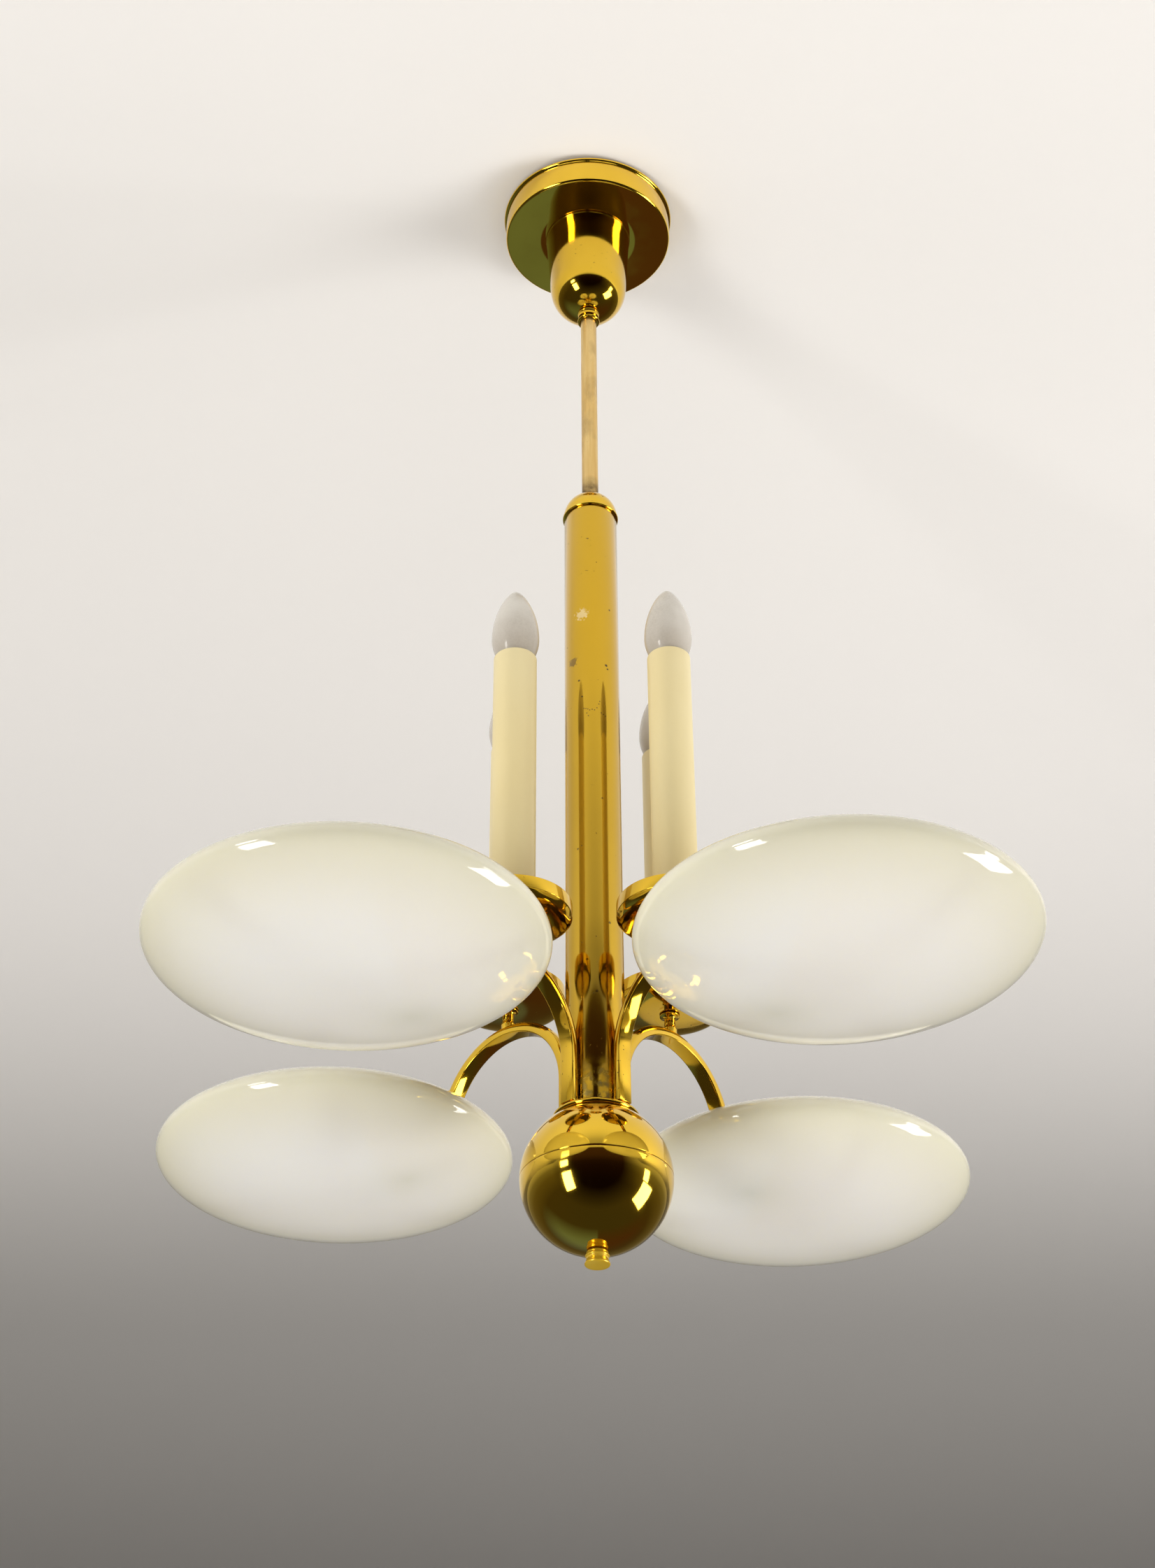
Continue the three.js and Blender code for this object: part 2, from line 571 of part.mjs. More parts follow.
function golfBulb() {
  const { radius, centre, neck } = GOLF_BULB;
  const start = (-Math.acos(neck / radius) * 180) / Math.PI;
  const globe = arc(radius, radius, centre, start, 90, 6);
  globe[globe.length - 1][0] = 0;
  return turned([[0, LOW_HOLDER.top + GAP], [neck, LOW_HOLDER.top + GAP], ...globe], SLIM_SIDES);
}

// ---- The four arms and what they carry ----------------------------------------------------------

ARM_ANGLES.forEach((angle, index) => {
  const number = index + 1;
  const armGroup = new THREE.Group();
  armGroup.rotation.z = degrees(angle);
  middle.add(armGroup);
  const onArch = [candleRadius, 0, 0];
  piece(`arm_${number}`, arm(), BRASS, armGroup);
  piece(`candle_stem_${number}`, stem(), BRASS, armGroup, onArch);
  piece(`drip_dish_${number}`, dish(), BRASS, armGroup, onArch);
  piece(`candle_sleeve_${number}`, sleeve.clone(), IVORY, armGroup, onArch);
  piece(`candle_holder_${number}`, candleHolder.clone(), BAKELITE, armGroup, onArch);
  piece(`candle_bulb_${number}`, candleBulb(), FROSTED, armGroup, onArch);

  const swivel = new THREE.Group(); // turns about the arm's outer leg
  swivel.position.x = LEG_RADIUS;
  swivel.rotation.z = degrees(BOWL_TURNS[index]);
  armGroup.add(swivel);
  const atCentre = [BOWL_OFFSET, 0, 0];
  const square = -degrees(angle + BOWL_TURNS[index]); // keeps the round bowl's facets square to X and Y
  piece(`glass_bowl_${number}`, bowl(), OPAL, swivel, atCentre, square);
  piece(`bowl_carrier_${number}`, carrier(), BRASS, swivel, atCentre);
  piece(`bowl_holder_${number}`, lowHolder.clone(), BAKELITE, swivel, atCentre);
  piece(`bowl_bulb_${number}`, golfBulb(), FROSTED, swivel, atCentre);
});

export default chandelier;
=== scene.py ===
# %% [markdown]
# # A brass chandelier with four candles and four opal bowls
#
# This lesson dresses a plain working model of a ceiling light. The working model already holds
# every size, place and joint, so it is loaded first and left alone. Each visible part is then
# modelled again in finer detail at exactly the place where the working model has it, and tied to
# the same moving body. Sizes are written in millimetres and turned into metres by MM.

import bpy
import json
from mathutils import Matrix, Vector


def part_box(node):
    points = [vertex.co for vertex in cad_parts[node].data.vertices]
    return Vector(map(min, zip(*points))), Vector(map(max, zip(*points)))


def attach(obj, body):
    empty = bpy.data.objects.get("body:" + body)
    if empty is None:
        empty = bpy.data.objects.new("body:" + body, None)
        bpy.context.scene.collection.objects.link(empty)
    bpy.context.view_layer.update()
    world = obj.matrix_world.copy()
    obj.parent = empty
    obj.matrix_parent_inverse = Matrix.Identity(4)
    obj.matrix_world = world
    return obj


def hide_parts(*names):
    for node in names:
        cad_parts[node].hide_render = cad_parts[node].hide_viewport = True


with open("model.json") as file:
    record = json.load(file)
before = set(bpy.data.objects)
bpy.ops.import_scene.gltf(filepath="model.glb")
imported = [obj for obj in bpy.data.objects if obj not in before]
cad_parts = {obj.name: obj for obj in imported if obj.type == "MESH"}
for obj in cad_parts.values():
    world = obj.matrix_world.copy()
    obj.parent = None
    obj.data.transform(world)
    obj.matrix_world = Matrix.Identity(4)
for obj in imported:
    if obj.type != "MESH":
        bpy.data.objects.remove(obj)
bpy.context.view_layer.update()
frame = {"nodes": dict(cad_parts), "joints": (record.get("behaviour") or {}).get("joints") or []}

# %% Tools from Python and Blender
import json
import math

import bpy
from mathutils import Matrix, Vector

MM = 0.001
NUMBERS = (1, 2, 3, 4)  # the arms, anticlockwise seen from above

# %% [markdown]
# ## Selecting pieces and wiring finishes
#
# An operator acts on all that is selected, so each step first selects only its own piece. Colour
# and gloss are nets of small nodes. They could be wired by hand in the shader editor, but short
# helpers that add a node, set it and wire it let a finish be read like a recipe.


# %% Select one piece
def put_down():
    """Back to object mode with nothing selected."""
    if bpy.context.mode != "OBJECT":
        bpy.ops.object.mode_set(mode="OBJECT")
    bpy.ops.object.select_all(action="DESELECT")


def take(piece):
    """Select one object alone and make it the active one."""
    put_down()
    piece.select_set(True)
    bpy.context.view_layer.objects.active = piece


def edit_all(piece):
    """Edit mode with every point of the piece selected."""
    take(piece)
    bpy.ops.object.mode_set(mode="EDIT")
    bpy.ops.mesh.select_mode(type="VERT")
    bpy.ops.mesh.select_all(action="SELECT")


# %% Node helpers
def shader_of(finish):
    return finish.node_tree.nodes["Principled BSDF"]


def new_finish(name, **sockets):
    """A material with one Principled shader, its constant values set straight on its sockets."""
    finish = bpy.data.materials.new(name)
    finish.use_nodes = True
    for socket, value in sockets.items():
        shader_of(finish).inputs[socket.replace("_", " ")].default_value = value
    return finish


def add(owner, kind, operation=None, **values):
    """A new node in a material or the world; values are set on its input sockets by name."""
    node = owner.node_tree.nodes.new("ShaderNode" + kind)
    if operation:
        node.operation = operation
    for socket, value in values.items():
        node.inputs[socket.replace("_", " ")].default_value = value
    return node


def wire(owner, source, target):
    owner.node_tree.links.new(source, target)


def fill(owner, value, socket):
    """Gives a socket a number, a colour or another node's output."""
    if isinstance(value, bpy.types.NodeSocket):
        wire(owner, value, socket)
    else:
        socket.default_value = (*value, 1) if isinstance(value, tuple) else value


def steps(owner, source, low, high, to_low=0.0, to_high=1.0):
    """Maps a value from low..high to to_low..to_high, held at both ends."""
    node = add(owner, "MapRange", From_Min=low, From_Max=high, To_Min=to_low, To_Max=to_high)
    wire(owner, source, node.inputs["Value"])
    return node.outputs[0]


def blend(owner, share, first, second, method="MIX"):
    """Mixes two colours, each a tuple or a socket, by a share that is a number or a socket."""
    node = add(owner, "Mix")
    node.data_type = "RGBA"
    node.blend_type = method
    for value, socket in ((share, 0), (first, 6), (second, 7)):
        fill(owner, value, node.inputs[socket])
    return node.outputs[2]


def combine(owner, operation, first, second):
    """A sum, product or power of two values, each a number or a socket."""
    node = add(owner, "Math", operation)
    fill(owner, first, node.inputs[0])
    fill(owner, second, node.inputs[1])
    return node.outputs[0]


def times(owner, first, second):
    return combine(owner, "MULTIPLY", first, second)


def ramp(owner, source, stops, between="LINEAR"):
    """Colours a value by a list of (place, colour)."""
    node = add(owner, "ValToRGB")
    node.color_ramp.interpolation = between
    while len(node.color_ramp.elements) < len(stops):
        node.color_ramp.elements.new(0.5)
    for element, (where, colour) in zip(node.color_ramp.elements, stops):
        element.position = where
        element.color = (*colour, 1)
    wire(owner, source, node.inputs[0])
    return node.outputs[0]


def give(finish, source, socket):
    """Wires a pattern to one of the shader's sockets."""
    wire(finish, source, shader_of(finish).inputs[socket])


# %% [markdown]
# ## The room
#
# The light hangs from a white ceiling and is seen from below, so the ceiling is the backdrop. It
# could be a bright world colour, but a real white plane also takes the soft shadow round the
# canopy. Its material lets rays through from above, so that the light can still be looked at from
# over the ceiling. A pale floor lies at the height of an ordinary room.

# %% Ceiling and floor
FLOOR_DEPTH = 3.3
put_down()
bpy.ops.mesh.primitive_plane_add(size=1, location=(0, 3.2, 0.0005))
ceiling = bpy.context.object
ceiling.name = "ceiling"
ceiling.scale = (9, 10.4, 1)
put_down()
bpy.ops.mesh.primitive_plane_add(size=14, location=(0, 0, -FLOOR_DEPTH))
floor = bpy.context.object
floor.name = "floor"

# Painted shade: the ceiling's white is darker towards the front and towards the far end of the
# room.
CEILING_PAINTED_SHADE = [(0.0, 0.45), (0.16, 0.93), (0.42, 0.93), (0.66, 0.52), (1.0, 0.42)]
ROOM_FRONT, ROOM_BACK = -1.5, 4.5
shaded_limewash = new_finish("shaded_limewash", Roughness=0.9)
seen_from = add(shaded_limewash, "NewGeometry")
along_room = add(shaded_limewash, "SeparateXYZ")
wire(shaded_limewash, seen_from.outputs["Position"], along_room.inputs[0])
far_along = steps(shaded_limewash, along_room.outputs["Y"], ROOM_FRONT, ROOM_BACK)
shades = [(where, (grey, grey * 0.99, grey * 0.98)) for where, grey in CEILING_PAINTED_SHADE]
give(shaded_limewash, ramp(shaded_limewash, far_along, shades, "EASE"), "Base Color")
either = add(shaded_limewash, "MixShader")
wire(shaded_limewash, seen_from.outputs["Backfacing"], either.inputs[0])
wire(shaded_limewash, shader_of(shaded_limewash).outputs[0], either.inputs[1])
wire(shaded_limewash, add(shaded_limewash, "BsdfTransparent").outputs[0], either.inputs[2])
wire(shaded_limewash, either.outputs[0], shaded_limewash.node_tree.nodes["Material Output"].inputs["Surface"])
edit_all(ceiling)
bpy.ops.mesh.flip_normals()  # the painted side faces down
put_down()
ceiling.data.materials.append(shaded_limewash)
floor.visible_glossy = False  # mirrors see the dim room instead
pale_floor = new_finish("pale_floor", Base_Color=(0.62, 0.58, 0.53, 1), Roughness=0.7)
floor.data.materials.append(pale_floor)
print("ceiling at 0 and floor at", -FLOOR_DEPTH, "m")

# %% [markdown]
# ## Light
#
# Polished brass shows the room more than itself. Two tall windows with a small pane above each
# give the bright streaks, and the dim lower part of the room gives the dark ones. Two wide soft
# lights near the floor, which mirrors don't show, lift the ceiling and the undersides of the
# bowls. One such light in the middle would throw the bowls' shadows on the ceiling.


# %% Windows and bounce lights
def soft_light(name, place, size, watts, colour, aim=(0, 0, -0.6), mirrored=True):
    """A rectangle of light that faces aim and that only mirrors may show."""
    data = bpy.data.lights.new(name, "AREA")
    data.shape = "RECTANGLE"
    data.size, data.size_y = size
    data.energy = watts
    data.color = colour
    light = bpy.data.objects.new(name, data)
    light.location = place
    light.rotation_euler = (Vector(aim) - Vector(place)).to_track_quat("-Z", "Y").to_euler()
    light.visible_camera = False
    light.visible_glossy = mirrored
    bpy.context.scene.collection.objects.link(light)


DAYLIGHT_LEFT, DAYLIGHT_RIGHT = (1.0, 0.98, 0.95), (1.0, 0.98, 0.96)
soft_light("window_left", (-2.2, -2.05, -1.95), (0.78, 1.45), 36, DAYLIGHT_LEFT)
soft_light("window_left_top", (-2.3, -2.0, -0.62), (0.6, 0.42), 7, DAYLIGHT_LEFT)
soft_light("window_right", (2.95, -0.35, -2.15), (1.15, 1.6), 46, DAYLIGHT_RIGHT)
soft_light("window_right_top", (3.1, -0.75, -0.95), (0.5, 0.75), 9, DAYLIGHT_RIGHT)
for side, out, watts in (("left", -1.5, 13.5), ("right", 1.5, 12.5)):
    soft_light(f"bounce_{side}", (out, -0.1, -2.45), (1.8, 2.2), watts, (1.0, 0.985, 0.965),
               aim=(out * 0.4, 0, 0), mirrored=False)

# %% The dim room that mirrors show
world = bpy.data.worlds.new("dim_room")
bpy.context.scene.world = world
world.use_nodes = True
looking = add(world, "SeparateXYZ")
wire(world, add(world, "TexCoord").outputs["Generated"], looking.inputs[0])


def leaning(axis, low, high):
    """How far the looking direction leans along an axis: 0 at low, 1 at high."""
    return steps(world, looking.outputs[axis], low, high)


ROOM_TONES = [  # from straight down to straight up
    (0.0, (0.045, 0.040, 0.030)), (0.30, (0.05, 0.04, 0.022)), (0.46, (0.10, 0.085, 0.045)),
    (0.53, (0.16, 0.15, 0.11)), (0.60, (0.42, 0.41, 0.38)), (1.0, (0.85, 0.84, 0.82)),
]
DARK_FRONT = (0.09, 0.045, 0.03)
CARPET_LEFT, CARPET_RIGHT = (0.12, 0.175, 0.25), (0.06, 0.03, 0.02)
SOFT_FILL = (0.26, 0.255, 0.245)  # what lights the pieces
BACKDROP = (0.56, 0.54, 0.52)  # what is seen past the ceiling
room = ramp(world, leaning("Z", -1, 1), ROOM_TONES)
room = blend(world, leaning("Y", -0.35, -0.8), room, DARK_FRONT, "MULTIPLY")
carpet = blend(world, leaning("X", 0.012, 0.036), CARPET_LEFT, CARPET_RIGHT)
behind = times(world, leaning("Y", 0.2, 0.62), leaning("Z", -0.3, -0.62))
room = blend(world, behind, room, carpet)
ray = add(world, "LightPath")
room = blend(world, ray.outputs["Is Diffuse Ray"], room, SOFT_FILL)
room = blend(world, ray.outputs["Is Camera Ray"], room, BACKDROP)
wire(world, room, world.node_tree.nodes["Background"].inputs["Color"])
bpy.context.scene.view_settings.view_transform = "Standard"
bpy.context.scene.view_settings.exposure = 0.15
print("room with", len(world.node_tree.nodes), "nodes")

# %% [markdown]
# ## Camera
#
# The view is that of someone who stands a metre and a half in front of the light and looks up at
# it, through a short telephoto lens. The sensor width belongs to the long side of the frame.

# %% Set the camera
LENS = 58.1
SENSOR = 36
EYE = Vector((-0.0494, -1.4870, -1.6018))
LOOKED_AT = Vector((0, 0, -0.6))
PITCH, YAW, ROLL = math.radians(34.511), math.radians(1.479), math.radians(-0.304)

camera_data = bpy.data.cameras.new("camera")
camera_data.lens = LENS
camera_data.sensor_width = SENSOR
camera = bpy.data.objects.new("camera", camera_data)
camera.location = EYE
level = Matrix.Rotation(-YAW, 4, "Z") @ Matrix.Rotation(math.pi / 2 + PITCH, 4, "X")
camera.rotation_euler = (level @ Matrix.Rotation(ROLL, 4, "Z")).to_euler()
bpy.context.scene.collection.objects.link(camera)
bpy.context.scene.camera = camera
print("camera", round((EYE - LOOKED_AT).length, 2), "m from the light")

# %% [markdown]
# ## Finishes
#
# A metal is mostly its reflection, so its material is about small things: a slow drift in
# colour where lacquer has aged, fine wiping marks in the gloss, and dark specks where the lacquer
# has broken. All of them are made with noise that is read at each point's own place.


# %% Noise and relief
def own_place(finish):
    return add(finish, "TexCoord").outputs["Object"]


def noise_at(finish, scale, stretch=(1, 1, 1), detail=3.0):
    """Noise read at the surface's own place. scale is in spots per metre."""
    mapping = add(finish, "Mapping", Scale=stretch)
    noise = add(finish, "TexNoise", Scale=scale, Detail=detail)
    wire(finish, own_place(finish), mapping.inputs["Vector"])
    wire(finish, mapping.outputs[0], noise.inputs["Vector"])
    return noise.outputs["Fac"]


def roughen(finish, source, strength, distance):
    """Fine relief from a value."""
    bump = add(finish, "Bump", Strength=strength, Distance=distance)
    wire(finish, source, bump.inputs["Height"])
    give(finish, bump.outputs[0], "Normal")


# %% Polished brass
BRASS_NEW = (0.92, 0.60, 0.042)
BRASS_AGED = (0.64, 0.39, 0.014)
TARNISH = (0.055, 0.035, 0.018)


def brass(name, aged=(0.1, 0.6), specks=0.70, gloss=0.06):
    """Lacquered brass: aged is the least and the most that the colour drifts, specks is the level
    above which noise shows as tarnish (higher is cleaner), gloss is the roughness of the polish."""
    finish = new_finish(name, Metallic=1.0, Coat_Weight=0.4, Coat_Roughness=0.06)
    drift = steps(finish, noise_at(finish, 14, (1, 1, 0.5)), 0.32, 0.68, *aged)
    tone = blend(finish, drift, BRASS_NEW, BRASS_AGED)
    crowd = steps(finish, noise_at(finish, 22, detail=1.0), 0.45, 0.65)
    dots = steps(finish, noise_at(finish, 420, detail=2.0), specks, specks + 0.04)
    spots = times(finish, crowd, dots)
    tone = blend(finish, spots, tone, TARNISH)
    give(finish, tone, "Base Color")
    wiped = steps(finish, noise_at(finish, 90, (1, 1, 0.12)), 0.3, 0.8, gloss, gloss + 0.07)
    dull_spots = times(finish, spots, 0.4)
    give(finish, combine(finish, "ADD", wiped, dull_spots), "Roughness")
    roughen(finish, noise_at(finish, 45, (1, 1, 0.4), 1.0), 0.05, 0.0006)
    return finish


polished_brass = brass("polished_brass", aged=(0.25, 0.9))
ball_brass = brass("ball_brass", aged=(0.0, 0.4), specks=0.76, gloss=0.035)
print("brass finishes ready")

# %% [markdown]
# ### Marks on the tube
#
# The thick tube has been handled for ninety years. It keeps a few dark spots near its middle, a
# pale rub, and a grey-green bloom at the foot where it was never wiped between the arms. Spots
# could be painted on an image, but here each one is a point on the tube with a size, and a little
# noise breaks its outline.


# %% Patterns by place
def distance_from(finish, place, point):
    """How far a place is from a point, in metres."""
    far = add(finish, "VectorMath", "DISTANCE")
    far.inputs[1].default_value = point
    wire(finish, place, far.inputs[0])
    return far.outputs["Value"]


def near(finish, point, radius, ragged=0.5):
    """1 near a point, 0 beyond radius, with a ragged outline; point and radius in metres."""
    far = distance_from(finish, own_place(finish), point)
    stray = ragged * radius
    wobble = steps(finish, noise_at(finish, 2.4 / radius), 0.0, 1.0, -stray, stray)
    reach = combine(finish, "ADD", far, wobble)
    return steps(finish, reach, radius * 0.7, radius, 1.0, 0.0)


def height_band(finish, top, bottom):
    """0 above top, rising to 1 at bottom; both in metres."""
    height = add(finish, "SeparateXYZ")
    wire(finish, own_place(finish), height.inputs[0])
    return steps(finish, height.outputs["Z"], top, bottom)


# %% Marked brass for the tube
TUBE = 20  # its radius in mm
TUBE_SPOTS = [  # degrees round the tube, height in mm, radius in mm
    (300, -486, 1.2), (303, -489, 0.9), (240, -500, 0.9), (247, -515, 0.8), (300, -705, 1.2),
    (272, -760, 1.1), (235, -645, 0.9), (254, -735, 1.0), (287, -604, 0.8), (310, -433, 0.8),
]
SCRATCH = [
    (251, -526), (255, -526.5), (259, -527), (263, -528), (268, -527.5), (273, -528), (278, -526),
    (282, -522.5), (284, -520), (287, -530), (292, -531), (297, -532), (257, -530.5), (260, -533),
]
SCRATCH_DOT = 0.55
STAIN_BROWN, RUBBED_PALE = (0.16, 0.095, 0.03), (0.95, 0.82, 0.50)
BLOOM_GREEN, LOWER_SHADE_BROWN = (0.16, 0.17, 0.09), (0.42, 0.27, 0.03)


def on_tube(degrees, high):
    """A point on the tube's face, in metres."""
    turned = math.radians(degrees)
    return (TUBE * MM * math.cos(turned), TUBE * MM * math.sin(turned), high * MM)


def tube_brass():
    finish = brass("tube_brass", aged=(0.85, 1.0), specks=0.72, gloss=0.09)
    tone = shader_of(finish).inputs["Base Color"].links[0].from_socket
    rough = shader_of(finish).inputs["Roughness"].links[0].from_socket
    stain = near(finish, on_tube(225, -481), 0.0042, 1.0)
    tone = blend(finish, times(finish, stain, 0.75), tone, STAIN_BROWN)
    for degrees, high, radius in TUBE_SPOTS + [(*mark, SCRATCH_DOT) for mark in SCRATCH]:
        spot = near(finish, on_tube(degrees, high), radius * MM, 0.8)
        tone = blend(finish, spot, tone, TARNISH)
    rub = near(finish, (-0.0075, -0.0185, -0.4395), 0.0048, 1.5)
    tone = blend(finish, times(finish, rub, 0.55), tone, RUBBED_PALE)
    bloom_noise = steps(finish, noise_at(finish, 160, detail=4.0), 0.42, 0.62)
    bloom = times(finish, height_band(finish, -0.806, -0.838), bloom_noise)
    tone = blend(finish, bloom, tone, BLOOM_GREEN)
    # Painted shade: the tube is darker and browner towards the bottom.
    lower = height_band(finish, -0.45, -0.62)
    tone = blend(finish, times(finish, lower, 0.35), tone, LOWER_SHADE_BROWN)
    give(finish, tone, "Base Color")
    dull_bloom = times(finish, bloom, 0.45)
    give(finish, combine(finish, "ADD", rough, dull_bloom), "Roughness")
    return finish


marked_brass = tube_brass()
print("tube brass with", len(TUBE_SPOTS), "spots")

# %% [markdown]
# ### Worn brass, steel, and the pale materials
#
# The rod has lost its lacquer: it is paler, satin, streaked along its length and dark just above
# the tube's cap. The fixings are zinc-plated steel with a fine crystal pattern. The lampholders are
# moulded bakelite and the connector is glazed porcelain.


# %% Worn brass and the small fittings' finishes
def worn_brass():
    finish = new_finish("worn_brass", Metallic=1.0)
    streak = steps(finish, noise_at(finish, 260, (1, 1, 0.06)), 0.35, 0.7)
    tone = blend(finish, streak, (0.84, 0.62, 0.27), (0.72, 0.47, 0.15))
    blotch = steps(finish, noise_at(finish, 70, (1, 1, 0.5)), 0.52, 0.68, 0.0, 0.55)
    tone = blend(finish, blotch, tone, (0.50, 0.34, 0.14))
    foot = times(finish, height_band(finish, -0.292, -0.309),
                   steps(finish, noise_at(finish, 190), 0.2, 0.55, 0.35, 1.0))
    give(finish, blend(finish, foot, tone, (0.07, 0.045, 0.03)), "Base Color")
    satin = noise_at(finish, 300, (1, 1, 0.1))
    give(finish, steps(finish, satin, 0.3, 0.7, 0.24, 0.42), "Roughness")
    roughen(finish, noise_at(finish, 600, (1, 1, 0.08)), 0.12, 0.0003)
    return finish


def zinc_steel():
    finish = new_finish("zinc_steel", Metallic=1.0)
    crystals = add(finish, "TexVoronoi", Scale=330.0)
    wire(finish, own_place(finish), crystals.inputs["Vector"])
    shade = steps(finish, crystals.outputs["Distance"], 0.0, 0.9)
    give(finish, blend(finish, shade, (0.62, 0.62, 0.60), (0.47, 0.48, 0.49)), "Base Color")
    give(finish, steps(finish, noise_at(finish, 240), 0.3, 0.7, 0.28, 0.5), "Roughness")
    roughen(finish, noise_at(finish, 900), 0.1, 0.0002)
    return finish


def moulded(name, colour, second, roughness, coat):
    """A moulded or glazed solid: a slight mottle under a clear skin."""
    finish = new_finish(name, Coat_Weight=coat, Coat_Roughness=0.08)
    mottle = steps(finish, noise_at(finish, 120, detail=5.0), 0.35, 0.7)
    give(finish, blend(finish, mottle, colour, second), "Base Color")
    gloss = steps(finish, noise_at(finish, 60), 0.3, 0.7, roughness, roughness + 0.1)
    give(finish, gloss, "Roughness")
    roughen(finish, noise_at(finish, 350), 0.06, 0.0004)
    return finish


rod_brass = worn_brass()
dull_brass = brass("dull_brass", aged=(0.0, 0.3), specks=0.72, gloss=0.3)
shader_of(dull_brass).inputs["Metallic"].default_value = 0.55
zinc = zinc_steel()
bakelite = moulded("black_bakelite", (0.022, 0.016, 0.013), (0.045, 0.028, 0.02), 0.3, 0.3)
porcelain = moulded("white_porcelain", (0.84, 0.83, 0.78), (0.78, 0.76, 0.70), 0.25, 0.5)
print("worn brass, zinc, bakelite and porcelain ready")

# %% [markdown]
# ### Opal glass
#
# Opal glass is white all through and bright with the light that it scatters. It turns
# yellow-green where the eye looks along the thin edge. The soft shade that the lampholder inside
# casts through the glass is painted into its colour. Both patterns belong to the bowl and not to
# the room, so they read an attribute that every bowl carries: its own coordinates, with the middle
# at zero and the arm's leg on the minus X side.


# %% Opal glass
def opal_glass():
    finish = new_finish("opal_glass", Roughness=0.07, IOR=1.5, Coat_Weight=0.6, Coat_Roughness=0.03,
                        Subsurface_Weight=0.6, Subsurface_Radius=(1.0, 0.95, 0.75),
                        Subsurface_Scale=0.02)
    own = add(finish, "Attribute")
    own.attribute_name = "in_bowl"
    flat = add(finish, "VectorMath", "MULTIPLY")
    flat.inputs[1].default_value = (1, 1, 0)
    far = add(finish, "VectorMath", "LENGTH")
    wire(finish, own.outputs["Vector"], flat.inputs[0])
    wire(finish, flat.outputs[0], far.inputs[0])
    edge = steps(finish, far.outputs["Value"], 0.055, 0.124)
    edge = combine(finish, "POWER", edge, 1.6)
    milk = blend(finish, noise_at(finish, 9, detail=2.0), (0.89, 0.87, 0.78), (0.87, 0.865, 0.80))
    tone = blend(finish, edge, milk, (0.93, 0.88, 0.62))
    # Painted shade: a soft darker cloud on the leg's side, where the lampholder inside shades the
    # glass.
    from_holder = distance_from(finish, flat.outputs[0], (-0.058, 0, 0))
    holder_shade = steps(finish, from_holder, 0.002, 0.052, 1.0, 0.0)
    holder_shade = times(finish, combine(finish, "POWER", holder_shade, 1.7), 0.42)
    give(finish, blend(finish, holder_shade, tone, (0.50, 0.52, 0.40)), "Base Color")
    roughen(finish, noise_at(finish, 16, detail=1.0), 0.05, 0.002)
    return finish


opal = opal_glass()


# %% Candle sleeve and frosted bulb
def ivory_sleeve():
    finish = new_finish("ivory_sleeve", Coat_Weight=0.12, Coat_Roughness=0.3)
    age = steps(finish, noise_at(finish, 16, (1, 1, 0.35)), 0.3, 0.75)
    tone = blend(finish, age, (0.94, 0.82, 0.47), (0.90, 0.75, 0.38))
    # Painted shade: the sleeve is darker and browner towards its foot in the dish.
    low = height_band(finish, -0.60, -0.73)
    tone = blend(finish, times(finish, low, 0.35), tone, (0.74, 0.56, 0.22))
    give(finish, tone, "Base Color")
    give(finish, steps(finish, noise_at(finish, 40, (1, 1, 0.2)), 0.3, 0.7, 0.36, 0.5), "Roughness")
    roughen(finish, noise_at(finish, 120, (1, 1, 0.15)), 0.06, 0.0006)
    return finish


def frosted_glass(name, clear_from, clear_to):
    """Etched glass, greyer between two heights (in metres), where the lamp's foot shows through."""
    finish = new_finish(name, Coat_Weight=0.7, Coat_Roughness=0.06, IOR=1.5)
    etched = noise_at(finish, 700, detail=4.0)
    tone = blend(finish, steps(finish, etched, 0.3, 0.7), (0.70, 0.66, 0.58), (0.60, 0.56, 0.49))
    slow = steps(finish, noise_at(finish, 30), 0.3, 0.7)
    tone = blend(finish, slow, tone, (0.80, 0.77, 0.70))
    low = times(finish, height_band(finish, clear_from, clear_to), 0.55)
    give(finish, blend(finish, low, tone, (0.40, 0.335, 0.27)), "Base Color")
    give(finish, steps(finish, etched, 0.3, 0.7, 0.42, 0.55), "Roughness")
    roughen(finish, etched, 0.08, 0.0002)
    return finish


ivory = ivory_sleeve()
frosted = frosted_glass("frosted_candle", -0.470, -0.512)
frosted_round = frosted_glass("frosted_round", -0.765, -0.800)
print("opal, ivory and frosted glass ready")

# %% [markdown]
# ## Turned parts
#
# Nearly everything round on this light was spun or turned on a lathe. A turned part could be made
# with the Spin tool from an outline, but spinning leaves a seam and may turn the skin inside out.
# Here a circle is extruded ring by ring, and each new ring is widened or narrowed, the way a
# turner works down a drawing. A drawing that ends where it began makes a wall with an inside. A
# ring of radius 0 closes a part on its axis.

# %% The lathe
SIDES = 96
POLE = 0.02  # mm: a ring this small is merged into one point
MERGE = 0.06 * MM
FINE_MERGE = 0.01 * MM


def push(x, y, z):
    """Extrudes what is selected and moves it, in metres."""
    bpy.ops.mesh.extrude_region_move(TRANSFORM_OT_translate={"value": (x, y, z)})


def weld(threshold=FINE_MERGE):
    """Merges doubled points of the whole mesh and turns its faces outwards."""
    bpy.ops.mesh.select_all(action="SELECT")
    bpy.ops.mesh.remove_doubles(threshold=threshold)
    bpy.ops.mesh.normals_make_consistent(inside=False)
    put_down()


def settle(piece):
    """Moves the place, turn and scale of an object into its mesh."""
    take(piece)
    bpy.ops.object.transform_apply(location=True, rotation=True, scale=True)


